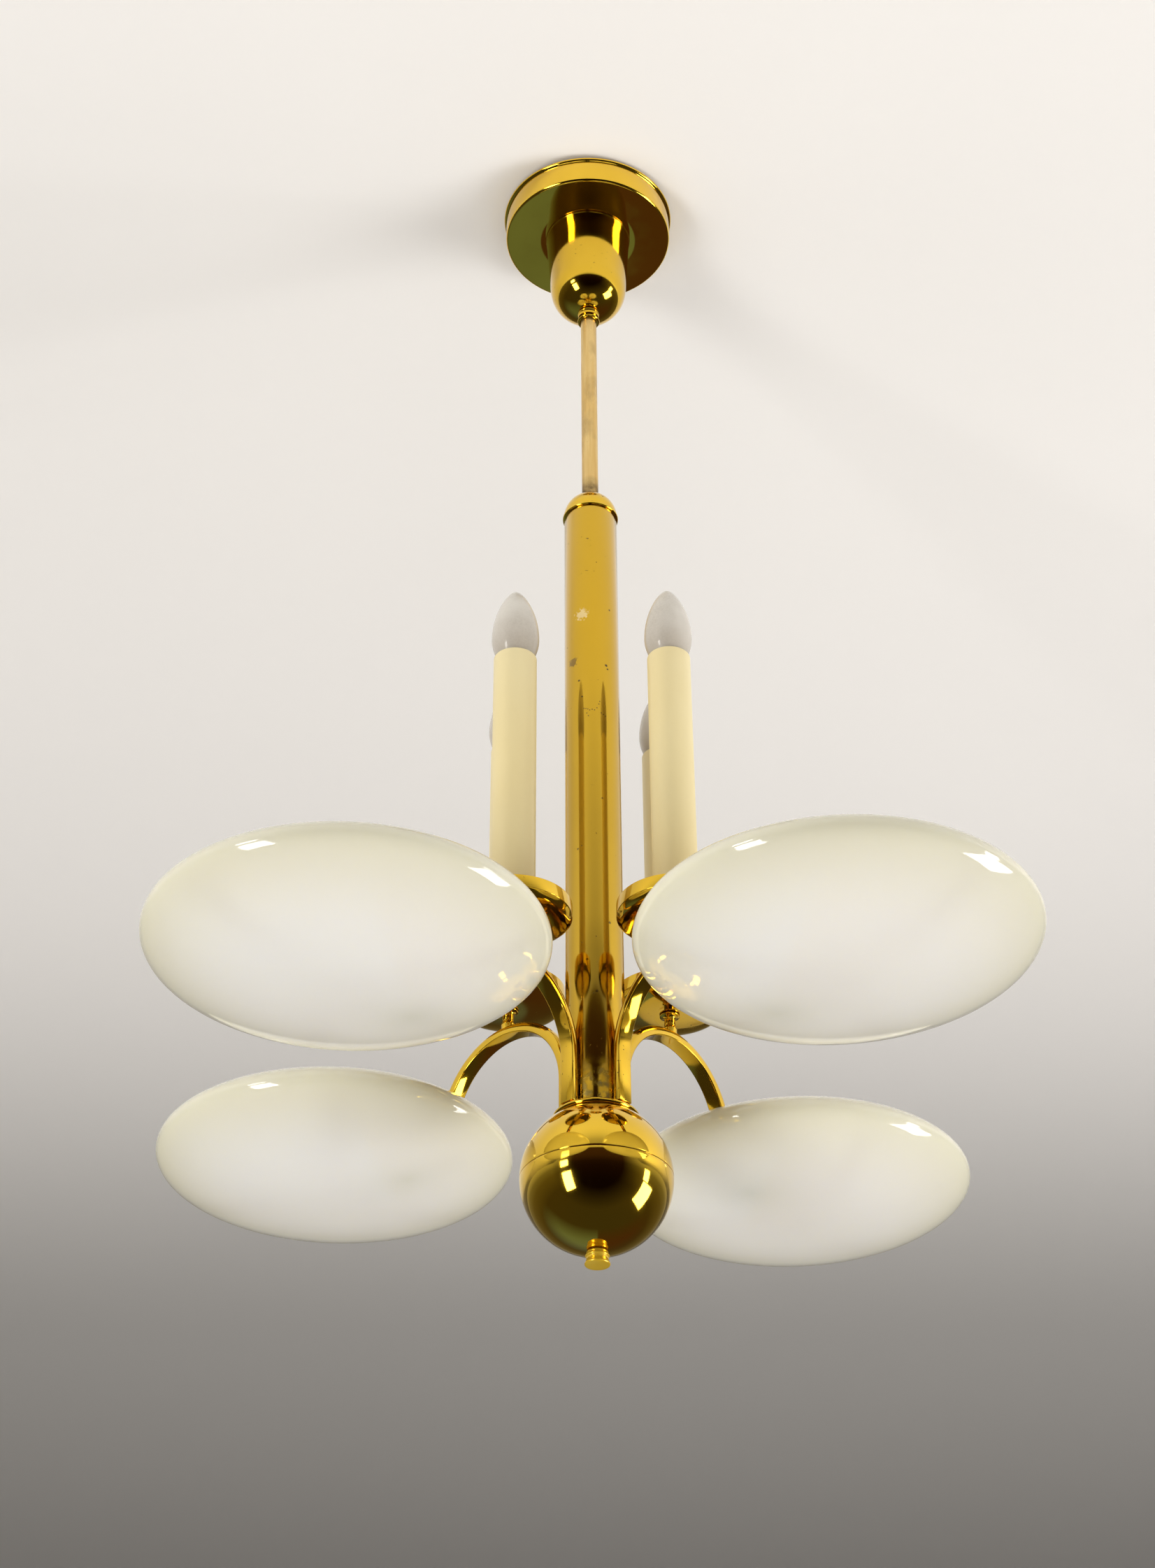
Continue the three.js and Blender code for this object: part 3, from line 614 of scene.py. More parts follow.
def turn(name, drawing, sides=SIDES, place=(0, 0)):
    """Turns a list of (radius, height) in mm about an upright axis at place, in metres."""
    rings = [(max(radius, POLE) * MM, high * MM) for radius, high in drawing]
    radius, high = rings[0]
    put_down()
    bpy.ops.mesh.primitive_circle_add(vertices=sides, radius=radius, location=(0, 0, high))
    piece = bpy.context.object
    piece.name = name
    edit_all(piece)
    for next_radius, next_high in rings[1:]:
        push(0, 0, next_high - high)
        ratio = next_radius / radius
        bpy.ops.transform.resize(value=(ratio, ratio, 1), center_override=(0, 0, next_high))
        radius, high = next_radius, next_high
    weld(MERGE)
    piece.location += Vector((*place, 0))
    settle(piece)
    return piece


# %% Edges, cuts and joins
def round_edges(piece, width, segments=2, angle=30):
    """Rounds the edges that are sharper than angle, then shades the piece smoothly."""
    take(piece)
    bevel = piece.modifiers.new("rounded", "BEVEL")
    bevel.width = width * MM
    bevel.segments = segments
    bevel.limit_method = "ANGLE"
    bevel.angle_limit = math.radians(angle)
    bpy.ops.object.modifier_apply(modifier=bevel.name)
    bpy.ops.object.shade_smooth_by_angle(angle=math.radians(angle))
    return piece


def cut_with(piece, tool, label):
    """Takes the tool's shape out of the piece, and then the tool away."""
    take(piece)
    cut = piece.modifiers.new(label, "BOOLEAN")
    cut.operation = "DIFFERENCE"
    cut.object = tool
    bpy.ops.object.modifier_apply(modifier=cut.name)
    bpy.data.objects.remove(tool)


def join(piece, *others):
    """Makes the others part of the piece's own mesh."""
    take(piece)
    for other in others:
        other.select_set(True)
    bpy.ops.object.join()


ALONG_X, ALONG_Y = (0, math.pi / 2, 0), (math.pi / 2, 0, 0)


def round_bar(sides, radius, depth, place, turned=(0, 0, 0)):
    """A plain round bar or prism, in mm, still to be shaped or to cut with."""
    put_down()
    bpy.ops.mesh.primitive_cylinder_add(vertices=sides, radius=radius * MM, depth=depth * MM,
                                        location=Vector(place) * MM, rotation=turned)
    return bpy.context.object


# %% Choosing faces and corners
def choose(piece, kind, wanted):
    """Selects only the wanted faces or points (kind is FACE or VERT) and enters edit mode."""
    take(piece)
    bpy.ops.object.mode_set(mode="EDIT")
    bpy.ops.mesh.select_mode(type=kind)
    bpy.ops.mesh.select_all(action="DESELECT")
    bpy.ops.object.mode_set(mode="OBJECT")
    for element in piece.data.polygons if kind == "FACE" else piece.data.vertices:
        element.select = wanted(element)
    bpy.ops.object.mode_set(mode="EDIT")


def round_corners(piece, wanted, offset, segments):
    """Rounds the wanted corner points of a flat outline; offset in mm."""
    choose(piece, "VERT", wanted)
    bpy.ops.mesh.bevel(offset=offset * MM, segments=segments, affect="VERTICES")
    bpy.ops.object.mode_set(mode="OBJECT")


# %% Drawings and measures
def bow(across, up, centre, start, end, steps_along):
    """Points along an ellipse, as (radius, height), from one angle to another in degrees."""
    radius, high = centre
    angles = [math.radians(start + (end - start) * i / steps_along) for i in range(steps_along + 1)]
    return [(radius + across * math.cos(a), high + up * math.sin(a)) for a in angles]


def at(level, *points):
    """Points of a drawing whose heights are counted from a level."""
    return [(radius, level + above) for radius, above in points]


def top_of(node):
    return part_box(node)[1].z / MM


def foot_of(node):
    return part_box(node)[0].z / MM


def foot_and_top(node):
    return foot_of(node), top_of(node)


def radius_of(node):
    low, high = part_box(node)
    return (high.x - low.x) / 2 / MM


# %% Finishing a piece
made = []


def done(piece, body, finish, slot, *nodes):
    """Dresses a piece, ties it to its moving body and hides the plain nodes it stands for."""
    piece.data.materials.clear()
    piece.data.materials.append(finish)
    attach(piece, body)
    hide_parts(*nodes)
    made.append(piece.name)
    return piece


# %% [markdown]
# ## The canopy
#
# A pressed brass drum hides the ceiling hook. Its top edge is rolled into a small flange with a
# groove under it, its lower edge is a tight curve, and its flat face is polished like a mirror.
# The bell-shaped cup below it is one smooth curve: a slight taper that closes in an egg. A spool
# collar with a screw clamps both to the rod.

# %% Canopy drum
drum_radius = 68.2
flange_radius = radius_of("canopy_drum")
drum_foot, drum_top = foot_and_top("canopy_drum")
SHEET = 1.2  # thickness of the spun brass
drum_hole = 30.3
drum_edge = 2.4
edge = (drum_radius - drum_edge, drum_foot + drum_edge)
drum_drawing = [
    *at(drum_foot, (drum_hole, 0), (40, 0), (53, 0)),
    *bow(drum_edge, drum_edge, edge, -90, 0, 8),
    *at(drum_top, (drum_radius, -12), (drum_radius, -5.4), (drum_radius - 0.7, -4.7)),
    *at(drum_top, (drum_radius - 0.7, -4.1)),
    *bow(1.9, 1.75, (flange_radius - 1.9, drum_top - 1.85), -80, 80, 10),
    (drum_radius - SHEET, drum_top), (drum_radius - SHEET, drum_foot + drum_edge),
    *bow(1.2, 1.2, edge, 0, -90, 4),
    *at(drum_foot, (drum_hole, SHEET), (drum_hole, 0)),
]
drum_shell = round_edges(turn("drum_shell", drum_drawing, 144), 0.15)
done(drum_shell, "canopy", ball_brass, "polished_brass", "canopy_drum")
print("drum", round(2 * flange_radius), "mm across,", round(drum_top - drum_foot, 1), "mm deep")

# %% Bell cup
cup_foot = foot_of("canopy_cup")
cup_top = drum_foot - 0.3
CUP_RADIUS = 34.4
CUP_TAPER = 0.061  # mm of radius lost for each mm down
EGG_START = -84.0
EGG_FULLNESS = 2.35  # 2 would be an ellipse
egg_depth = EGG_START - cup_foot
ROD_HOLE = 6.65


def cup_radius(high, shrink=0.0):
    """The cup's outline: a straight taper, closed by a full rounded egg."""
    straight = CUP_RADIUS - CUP_TAPER * (cup_top - high) - shrink
    down = max(0.0, (EGG_START - high) / (egg_depth - shrink))
    return straight * max(0.0, 1 - down**EGG_FULLNESS) ** (1 / EGG_FULLNESS)


MOUTH = 9.0
mouth_high = cup_foot
while cup_radius(mouth_high) < MOUTH:
    mouth_high += 0.02
EGG_STEPS = 26
egg_turns = [math.pi / 2 * i / EGG_STEPS for i in range(EGG_STEPS + 1)]
egg_highs = [EGG_START + (mouth_high - EGG_START) * math.sin(turned) for turned in egg_turns]
outside = [(cup_radius(high), high) for high in reversed(egg_highs)]
outside += [(cup_radius(high), high) for high in (-76, -66, -52, -40, cup_top - 1.1)]
outside += bow(0.5, 0.5, (CUP_RADIUS, cup_top - 0.5), -80, 80, 6)
lining = (cup_top - 2, -52, -76, -90, -100, -107)
inside = [(cup_radius(high, SHEET), high + SHEET * 0.7) for high in lining]
cup_drawing = [
    (ROD_HOLE, cup_foot + 0.2), *outside,
    *at(cup_top, (30, 0), (30, 4.3), (28.8, 4.3), (28.8, -SHEET)),
    *inside, (ROD_HOLE, cup_foot + 2.4), (ROD_HOLE, cup_foot + 0.2),
]
bell_cup = round_edges(turn("bell_cup", cup_drawing, 128), 0.2)
done(bell_cup, "canopy", polished_brass, "polished_brass", "canopy_cup")
print("cup", round(cup_top - cup_foot, 1), "mm deep, mouth at", round(mouth_high, 1))

# %% Spool collar and its screw
collar_foot, collar_top = foot_and_top("cup_collar")
collar_middle = (collar_top + collar_foot) / 2
collar_drawing = [
    (ROD_HOLE, collar_foot), (8.2, collar_foot),
    *bow(0.9, 0.9, (8.1, collar_foot + 1.0), -80, 60, 6),
    *bow(-0.9, 2.6, (8.8, collar_middle), -70, 70, 8),
    *bow(0.7, 0.8, (7.95, collar_top - 0.9), -50, 80, 6),
    (ROD_HOLE, collar_top), (ROD_HOLE, collar_foot),
]
spool_collar = round_edges(turn("spool_collar", collar_drawing, 64), 0.12)
done(spool_collar, "canopy", polished_brass, "polished_brass", "cup_collar")

low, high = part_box("collar_screw")
screw_from = (low + high) / 2
screw_turn = math.atan2(screw_from.y, screw_from.x)
clamp_screw = round_bar(24, 1.3, 3.6, (8.45, 0, 0), ALONG_X)
clamp_screw.name = "clamp_screw"
settle(clamp_screw)
choose(clamp_screw, "FACE", lambda face: face.normal.x > 0.9)
bpy.ops.mesh.inset(thickness=0.35 * MM)
push(-0.7 * MM, 0, 0)
put_down()
screw_level = Matrix.Translation((0, 0, screw_from.z))
clamp_screw.matrix_world = screw_level @ Matrix.Rotation(screw_turn, 4, "Z")
settle(clamp_screw)
round_edges(clamp_screw, 0.12)
done(clamp_screw, "canopy", zinc, "zinc_steel", "collar_screw")
print("collar and screw at", round(collar_middle, 1), "mm")

# %% [markdown]
# ## Rod, cap, tube and ball
#
# A slim rod drops into a thick tube that a domed cap closes. The ball at the foot is spun in two
# halves, and the fine line where they meet is a real gap with rounded lips, so it catches light
# like the real seam. The finial below it is a small plain nut: a ring, a shallow waist and a
# flared button with a flat end.

# %% Rod with its cross hole
rod_foot, rod_top = foot_and_top("stem_rod")
ROD_RADIUS = radius_of("stem_rod")
ROD_BORE = 4.6
rod_drawing = [
    (ROD_BORE, rod_foot), (ROD_RADIUS, rod_foot), (ROD_RADIUS, -290),
    (ROD_RADIUS, -160), (ROD_RADIUS, rod_top), (ROD_BORE, rod_top),
]
rod_drawing += [rod_drawing[0]]
hanging_rod = turn("hanging_rod", rod_drawing, 64)
low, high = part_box("shackle_bolt")
bolt_level = (low.z + high.z) / 2 / MM
cut_with(hanging_rod, round_bar(24, 2.3, 40, (0, 0, bolt_level), ALONG_Y), "cross_hole")
round_edges(hanging_rod, 0.2)
done(hanging_rod, "frame", rod_brass, "worn_brass", "stem_rod")
print("rod", round(rod_top - rod_foot), "mm long")

# %% Domed cap and tube
tube_foot, tube_top = foot_and_top("centre_tube")
TUBE_WALL = 1.5
PLUG, PLUG_BORE = 18.2, 16.4  # what fits into the tube
cap_seat = tube_top + 0.3
cap_rim = radius_of("tube_cap")
DOME = 20.4
dome_level = cap_seat + 2.8
dome_stop = math.degrees(math.acos(ROD_HOLE / DOME))
cap_drawing = [
    *at(cap_seat, (PLUG_BORE, -9), (PLUG, -9), (PLUG, 0), (cap_rim - 0.9, 0)),
    *bow(0.9, 0.9, (cap_rim - 0.9, cap_seat + 0.9), -80, 0, 4),
    *bow(0.9, 0.9, (cap_rim - 0.9, cap_seat + 1.7), 0, 75, 4),
    (DOME, dome_level - 0.2),
    *bow(DOME, DOME, (0, dome_level), 2, dome_stop, 24),
    *bow(DOME - 1.8, DOME - 1.8, (0, dome_level), dome_stop - 2, 0, 10),
]
cap_drawing += [cap_drawing[0]]
domed_cap = round_edges(turn("domed_cap", cap_drawing), 0.15)
done(domed_cap, "frame", polished_brass, "polished_brass", "tube_cap")

tube_inside = TUBE - TUBE_WALL
tube_drawing = [(tube_inside, tube_foot), (TUBE, tube_foot), (TUBE, -700), (TUBE, -520)]
tube_drawing += [(TUBE, tube_top), (tube_inside, tube_top), tube_drawing[0]]
thick_tube = round_edges(turn("thick_tube", tube_drawing, 128), 0.25)
done(thick_tube, "frame", marked_brass, "polished_brass", "centre_tube")
print("tube", round(tube_top - tube_foot), "mm long")

# %% Ring under the arms, and the ball in two halves
ring_top = tube_foot - 0.3
ring_radius = radius_of("arm_ring")
BORE = 4.6  # what the tie rod runs through
ring_drawing = [
    *at(ring_top, (BORE, -6), (26.4, -6), (26.4, -3), (ring_radius - 0.8, -3)),
    *bow(0.8, 1.2, (ring_radius - 0.8, ring_top - 1.5), -70, 70, 8),
    *at(ring_top, (ring_radius - 1.4, 0), (PLUG, 0), (PLUG, 4), (BORE, 4), (BORE, -6)),
]
foot_ring = round_edges(turn("foot_ring", ring_drawing), 0.2)
done(foot_ring, "frame", polished_brass, "polished_brass", "arm_ring")

BALL = radius_of("ball_lower")
ball_level = (foot_of("ball_upper") + top_of("ball_lower") - 3) / 2
BALL_OPENING = ring_radius - 1.6
SEAM = 0.17  # degrees, half the gap between the halves
opening_angle = math.degrees(math.acos(BALL_OPENING / BALL))
inner_opening = math.degrees(math.acos(BALL_OPENING / (BALL - SHEET)))
upper_drawing = [
    *bow(BALL, BALL, (0, ball_level), SEAM, opening_angle, 36),
    *bow(BALL - SHEET, BALL - SHEET, (0, ball_level), inner_opening, SEAM, 16),
]
upper_drawing += [upper_drawing[0]]
ball_top_half = round_edges(turn("ball_top_half", upper_drawing, 144), 0.12)
done(ball_top_half, "frame", ball_brass, "polished_brass", "ball_upper")

ball_hole = math.degrees(math.acos(BORE / BALL))
LOW_WALL = 2.8
deep_hole = math.degrees(math.acos(BORE / (BALL - LOW_WALL)))
lip = BALL - SHEET - 0.5
lower_drawing = [
    *bow(BALL, BALL, (0, ball_level), -ball_hole, -SEAM, 48),
    *at(ball_level, (lip, -0.15), (lip, 3), (lip - 1.1, 3)),
    *bow(BALL - LOW_WALL, BALL - LOW_WALL, (0, ball_level), -4, -deep_hole, 20),
]
lower_drawing += [lower_drawing[0]]
ball_low_half = round_edges(turn("ball_low_half", lower_drawing, 144), 0.12)
done(ball_low_half, "frame", ball_brass, "polished_brass", "ball_lower")
print("ball", round(2 * BALL), "mm across at", round(ball_level, 1))

# %% Finial
finial_foot, finial_top = foot_and_top("finial")
button = radius_of("finial")
finial_drawing = [
    (0, finial_foot + 3), (BORE, finial_foot + 3),
    *at(finial_top, (BORE, 0), (6.9, 0), (7.1, -1.2), (7.2, -1.7)),
    *bow(0.75, 0.75, (7.1, finial_top - 2.7), 60, -60, 8),
    *at(finial_top, (7.15, -3.7), (7.05, -4.6), (7.3, -5.6), (7.8, -6.8)),
    *bow(0.9, 0.9, (button - 0.9, finial_foot + 0.95), 50, -85, 8),
    (4, finial_foot), (0, finial_foot),
]
end_button = round_edges(turn("end_button", finial_drawing, 64), 0.1)
done(end_button, "finial", dull_brass, "polished_brass", "finial")
print("finial", round(finial_top - finial_foot, 1), "mm tall")

# %% [markdown]
# ## The arched arms
#
# Each arm is a solid bar, flat on the inside of its arch and rounded on the outside, with its
# foot straight up beside the tube, half a circle over and a short leg down into the bowl. It
# could follow a curve, but extrude and spin say it as a smith would: raise the bar, bend it round
# a former, and let it run straight again. One arm is made along +X and copied round the tube.


# %% One arm along +X
def middle_of(node):
    low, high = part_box(node)
    return (low + high) / 2


candle_middles = [middle_of(f"candle_sleeve_{n}") for n in NUMBERS]
bowl_middles = [middle_of(f"glass_bowl_{n}") for n in NUMBERS]
swivel_joints = [joint for joint in frame["joints"] if joint["name"].startswith("bowl_swivel")]
swivels = {joint["child"]: Vector(joint["pos_m"]) for joint in swivel_joints}
arm_angles = [math.atan2(m.y, m.x) for m in candle_middles]
candle_out = Vector(candle_middles[0].xy).length / MM
leg_out = Vector(swivels["bowl_1"].xy).length / MM
bend_radius = leg_out - candle_out
foot_out = candle_out - bend_radius
BAR_WIDTH, BAR_THICK = 11.3, 7.8
ROUND_SIDE, FLAT_SIDE = 3.9, 0.9  # how far the corners are rounded
arm_top = top_of("arm_1")
spring_line = arm_top - bend_radius - BAR_THICK / 2
arm_foot = ring_top + 0.3
LEG = 6.5  # the straight part below the bend
PIN = 12
leg_end = spring_line - LEG
pin_foot = leg_end - PIN

put_down()
bpy.ops.mesh.primitive_plane_add(size=1, location=(foot_out * MM, 0, arm_foot * MM))
arm_master = bpy.context.object
arm_master.scale = (BAR_THICK * MM, BAR_WIDTH * MM, 1)
settle(arm_master)

flat_side = (foot_out + BAR_THICK / 2 - 0.1) * MM
round_corners(arm_master, lambda point: point.co.x < foot_out * MM, ROUND_SIDE, 8)
round_corners(arm_master, lambda point: point.co.x > flat_side, FLAT_SIDE, 3)
choose(arm_master, "FACE", lambda face: True)
push(0, 0, (spring_line - arm_foot) * MM)
former = (candle_out * MM, 0, spring_line * MM)
bpy.ops.mesh.spin(steps=56, angle=-math.pi, center=former, axis=(0, 1, 0))
push(0, 0, (leg_end - spring_line) * MM)
weld()
round_edges(arm_master, 0.3, 2, 40)
print("arm bends at", round(bend_radius, 1), "mm, with its top at", round(arm_top, 1))

# %% [markdown]
# The arm's ends carry a stud that goes down through the ring, and a pin on which the bowl's
# carrier turns. Both are plain turned rounds; the pin ends in a small riveted head that keeps the
# carrier on.

# %% Stud and pin, then four copies
stud_out = foot_out - 1.45
stud_drawing = [
    (0, arm_foot + 1), (1.8, arm_foot + 1),
    *at(ring_top, (1.8, -6.2), (1.4, -6.4), (0, -6.4)),
]
stud = turn("stud", stud_drawing, 24, (stud_out * MM, 0))
pin_drawing = [
    (0, leg_end + 1), (3.2, leg_end + 1), (3.2, pin_foot + 4.4), (4.6, pin_foot + 4.2),
    *bow(4.6, 2.4, (0, pin_foot + 2.4), 0, -90, 6),
]
pin = turn("pin", pin_drawing, 32, (leg_out * MM, 0))
join(arm_master, stud, pin)
bpy.ops.object.shade_smooth_by_angle(angle=math.radians(35))


def copy_to(master, name, turn_by, place=(0, 0, 0)):
    """A copy with a mesh of its own, turned about the upright axis and then moved to place."""
    take(master)
    bpy.ops.object.duplicate(linked=False)
    copy = bpy.context.object
    copy.name = name
    copy.matrix_world = Matrix.Translation(place) @ Matrix.Rotation(turn_by, 4, "Z")
    settle(copy)
    return copy


for number, angle in zip(NUMBERS, arm_angles):
    arched = copy_to(arm_master, f"arched_bar_{number}", angle)
    done(arched, "frame", polished_brass, "polished_brass", f"arm_{number}")
print("four arms at", [round(math.degrees(a) % 360, 1) for a in arm_angles], "degrees")

# %% [markdown]
# ## The candles
#
# On the top of every arch stands a short turned stem with a drip dish: a shallow spun bowl with
# an upright rim and a crisp line where the two meet. The ivory sleeve is a plain tube with a
# softened lip. The lampholder stands inside it, and a pointed candle bulb shows above.

# %% Stem and dish
stem_foot, stem_head = arm_top + 0.3, foot_of("drip_dish_1") - 0.3
stem_drawing = [
    *at(stem_foot, (0, -3.2), (4.8, -3.2), (5.0, -3), (5.0, 1.2)),
    *bow(-2.6, 2.6, (6.4, stem_foot + 4.5), -62, 20, 8),
    *bow(-3.4, 3.0, (7.2, stem_head - 4.2), 5, 80, 8),
    *at(stem_head, (7.0, -1.0), (7.0, -0.2), (6.6, 0), (3.0, 0), (3.0, 1.2), (0, 1.2)),
]
stem_master = turn("stem_master", stem_drawing, 48, (candle_out * MM, 0))
cut_with(stem_master, arm_master, "saddle")
stem_master.location.x -= candle_out * MM
settle(stem_master)
round_edges(stem_master, 0.12)

dish_foot, dish_top = foot_and_top("drip_dish_1")
DISH = radius_of("drip_dish_1")
RIM = 9
rim_foot = dish_top - RIM
flat_part = 9.5
side_foot = rim_foot - 0.7
sweep_middle = (flat_part, side_foot)
sweep = bow(DISH - 1.2 - flat_part, side_foot - dish_foot, sweep_middle, -90, -8, 16)
dish_drawing = [
    (3.3, dish_foot), *sweep, (DISH - 0.5, side_foot),
    *at(rim_foot, (DISH, 0), (DISH, 4)),
    *bow(0.5, 0.5, (DISH - 0.5, dish_top - 0.5), 0, 180, 8),
    *at(rim_foot, (DISH - 1.0, 0.8), (DISH - 2.2, 0.4)),
]
dish_drawing += [(radius - 0.4, high + 1) for radius, high in reversed(sweep[:-2])]
dish_drawing += [(3.3, dish_foot + 1), (3.3, dish_foot)]
dish_master = round_edges(turn("dish_master", dish_drawing, 128), 0.15)
print("dish", round(2 * DISH, 1), "mm across, rim", RIM, "mm")

# %% Sleeve, lampholder and candle bulb
sleeve_foot, sleeve_top = foot_and_top("candle_sleeve_1")
SLEEVE = radius_of("candle_sleeve_1")
SLEEVE_WALL = 1.2
sleeve_inside = SLEEVE - SLEEVE_WALL
sleeve_drawing = [
    *at(sleeve_foot, (sleeve_inside, 0), (SLEEVE, 0), (SLEEVE, 70)),
    (SLEEVE, sleeve_top - 70),
    *bow(0.6, 0.6, (SLEEVE - 0.6, sleeve_top - 0.6), 0, 180, 8),
]
sleeve_drawing += [sleeve_drawing[0]]
sleeve_master = round_edges(turn("sleeve_master", sleeve_drawing, 96), 0.1)

holder_foot, holder_top = foot_and_top("candle_holder_1")
holder_drawing = [
    *at(holder_foot, (0, 0), (8.6, 0), (9, 0.4), (9, 2), (4, 3.4)),
    *at(holder_top, (4, -31), (12.4, -28.4), (13, -27.6)),
]
for groove in range(5):
    here = holder_top - 24 + 4 * groove
    holder_drawing += at(here, (13, 0), (12.4, 0.5), (12.4, 1.2), (13, 1.7))
holder_drawing += at(holder_top, (13, -0.5), (12.5, 0), (0, 0))
holder_master = round_edges(turn("holder_master", holder_drawing, 64), 0.15)

bulb_foot, bulb_tip = foot_and_top("candle_bulb_1")
BULB = radius_of("candle_bulb_1")
bulb_reach = bulb_tip - sleeve_top
widest = sleeve_top + bulb_reach * 0.29
bulb_drawing = [
    *at(bulb_foot, (0, 0), (11.6, 0), (12, 0.4)),
    (12, sleeve_top - 0.5),
]
for i in range(1, 13):
    swell = math.sin(i / 13 * math.pi / 2) ** 0.9
    bulb_drawing += at(sleeve_top, (12 + (BULB - 12) * swell, (widest - sleeve_top) * i / 13))
for i in range(0, 30):
    up = math.sin(i / 30 * math.pi / 2)  # closer steps towards the tip
    narrowing = math.cos(up * math.pi / 2) ** 0.62
    bulb_drawing += at(widest, (BULB * narrowing, (bulb_tip - widest) * up))
bulb_drawing += [(0, bulb_tip)]
bulb_master = round_edges(turn("bulb_master", bulb_drawing, 72), 0.1, 2, 50)
print("candle", round(bulb_tip - dish_foot), "mm tall")

# %% Four candles
CANDLE_PARTS = (  # new name, master, finish, slot, working node
    ("turned_stem", stem_master, polished_brass, "polished_brass", "candle_stem"),
    ("spun_dish", dish_master, polished_brass, "polished_brass", "drip_dish"),
    ("ivory_tube", sleeve_master, ivory, "ivory_sleeve", "candle_sleeve"),
    ("tall_lampholder", holder_master, bakelite, "black_bakelite", "candle_holder"),
    ("pointed_bulb", bulb_master, frosted, "frosted_glass", "candle_bulb"),
)
for number, angle, middle in zip(NUMBERS, arm_angles, candle_middles):
    for name, master, finish, slot, node in CANDLE_PARTS:
        part = copy_to(master, f"{name}_{number}", angle, (middle.x, middle.y, 0))
        body = f"candle_bulb_{number}" if node == "candle_bulb" else "frame"
        done(part, body, finish, slot, f"{node}_{number}")
for _, master, *_ in CANDLE_PARTS:
    bpy.data.objects.remove(master)
print("four candles at", round(candle_out, 1), "mm from the axis")

# %% [markdown]
# ## The opal bowls
#
# Each bowl is blown glass, 250 mm across and only 50 mm deep. Its outline is a flat ellipse whose
# wall turns in over the widest level and ends in a wide ground opening. The wall thickness is
# drawn too, so the bowl is real from above. Before it is copied, the bowl's own coordinates
# are stored for its material.

# %% Bowl
bowl_foot = foot_of("glass_bowl_1")
BOWL = radius_of("glass_bowl_1")
DEPTH = 31
BOWL_WALL = 3
OPENING = 100
bowl_level = bowl_foot + DEPTH
lip_angle = math.degrees(math.acos(OPENING / BOWL))
inner_lip = math.degrees(math.acos(OPENING / (BOWL - BOWL_WALL)))
bowl_drawing = [
    *bow(BOWL, DEPTH, (0, bowl_level), -90, lip_angle, 60),
    *bow(BOWL - BOWL_WALL, DEPTH - BOWL_WALL, (0, bowl_level), inner_lip, -90, 48),
]
bowl_drawing[0], bowl_drawing[-1] = (0, bowl_foot), (0, bowl_foot + BOWL_WALL)
bowl_master = round_edges(turn("bowl_master", bowl_drawing, 160), 0.5, 3, 40)
in_bowl = bowl_master.data.attributes.new("in_bowl", "FLOAT_VECTOR", "POINT")
centre = Vector((0, 0, bowl_level * MM))
for corner, stored in zip(bowl_master.data.vertices, in_bowl.data):
    stored.vector = corner.co - centre
print("bowl", round(2 * BOWL), "mm across with", len(bowl_master.data.polygons), "faces")

# %% [markdown]
# ## What the bowls hold
#
# A carrier of flat brass bar hangs on the arm's pin and reaches to the bowl's middle. Three sprung
# claws hold the glass from inside, under its shoulder. A bakelite lampholder stands on the
# carrier's boss with a round frosted bulb in it. The carrier is built along X, with the pin at
# minus X: a block for the bar, and claws that are extruded and bent in edit mode.

# %% Carrier
OFFSET = (bowl_middles[0] - swivels["bowl_1"]).xy.length / MM
carrier_level = bowl_level - 8
put_down()
bpy.ops.mesh.primitive_cube_add(size=1, location=(-OFFSET / 2 * MM, 0, carrier_level * MM))
carrier_master = bpy.context.object
carrier_master.scale = ((OFFSET - 7) * MM, 10 * MM, 4 * MM)
settle(carrier_master)
round_edges(carrier_master, 0.7, 3)
bush_top = leg_end - 0.3
bush_drawing = [
    *at(carrier_level, (3.5, -2), (6.2, -2), (6.65, -1.5)),
    *at(bush_top, (6.65, -0.5), (6.2, 0), (3.5, 0)),
]
bush_drawing += [bush_drawing[0]]
bush = round_edges(turn("bush", bush_drawing, 48, (-OFFSET * MM, 0)), 0.1)
boss_drawing = at(carrier_level, (0, -4), (7, -4), (8, -3), (8, 1.6), (7.6, 2), (0, 2))
boss = round_edges(turn("boss", boss_drawing, 48), 0.15)

CLAW_WIDTH, CLAW_THICK = 8, 1.6
CLAW_REACH = 0.92  # of the glass's inner radius
claw_bend = (BOWL - BOWL_WALL) * 0.8
claw_tip = (BOWL - BOWL_WALL) * CLAW_REACH
shoulder = bowl_level + (DEPTH - BOWL_WALL) * math.sqrt(1 - CLAW_REACH**2)
claw_tip_high = shoulder - CLAW_THICK - 0.4
put_down()
claw_low = carrier_level - CLAW_THICK / 2
bpy.ops.mesh.primitive_cube_add(size=1, location=(5 * MM, 0, claw_low * MM))
claw = bpy.context.object
claw.scale = (6 * MM, CLAW_WIDTH * MM, CLAW_THICK * MM)
settle(claw)
choose(claw, "FACE", lambda face: face.normal.x > 0.9)
push((claw_bend - 14) * MM, 0, 0)
push(6 * MM, 0, 1.2 * MM)
run, climb = claw_tip - claw_bend - 2, claw_tip_high - claw_low - 3.2
push(run * MM, 0, climb * MM)
push(1.6 * MM, 0, -0.6 * MM)
put_down()
round_edges(claw, 0.35, 2, 20)
claws = [copy_to(claw, f"claw_{i}", math.radians(120 * i)) for i in range(3)]
bpy.data.objects.remove(claw)
join(carrier_master, bush, boss, *claws)
bpy.ops.object.shade_smooth_by_angle(angle=math.radians(35))
print("carrier reaches", round(OFFSET, 1), "mm from the pin to the bowl's middle")

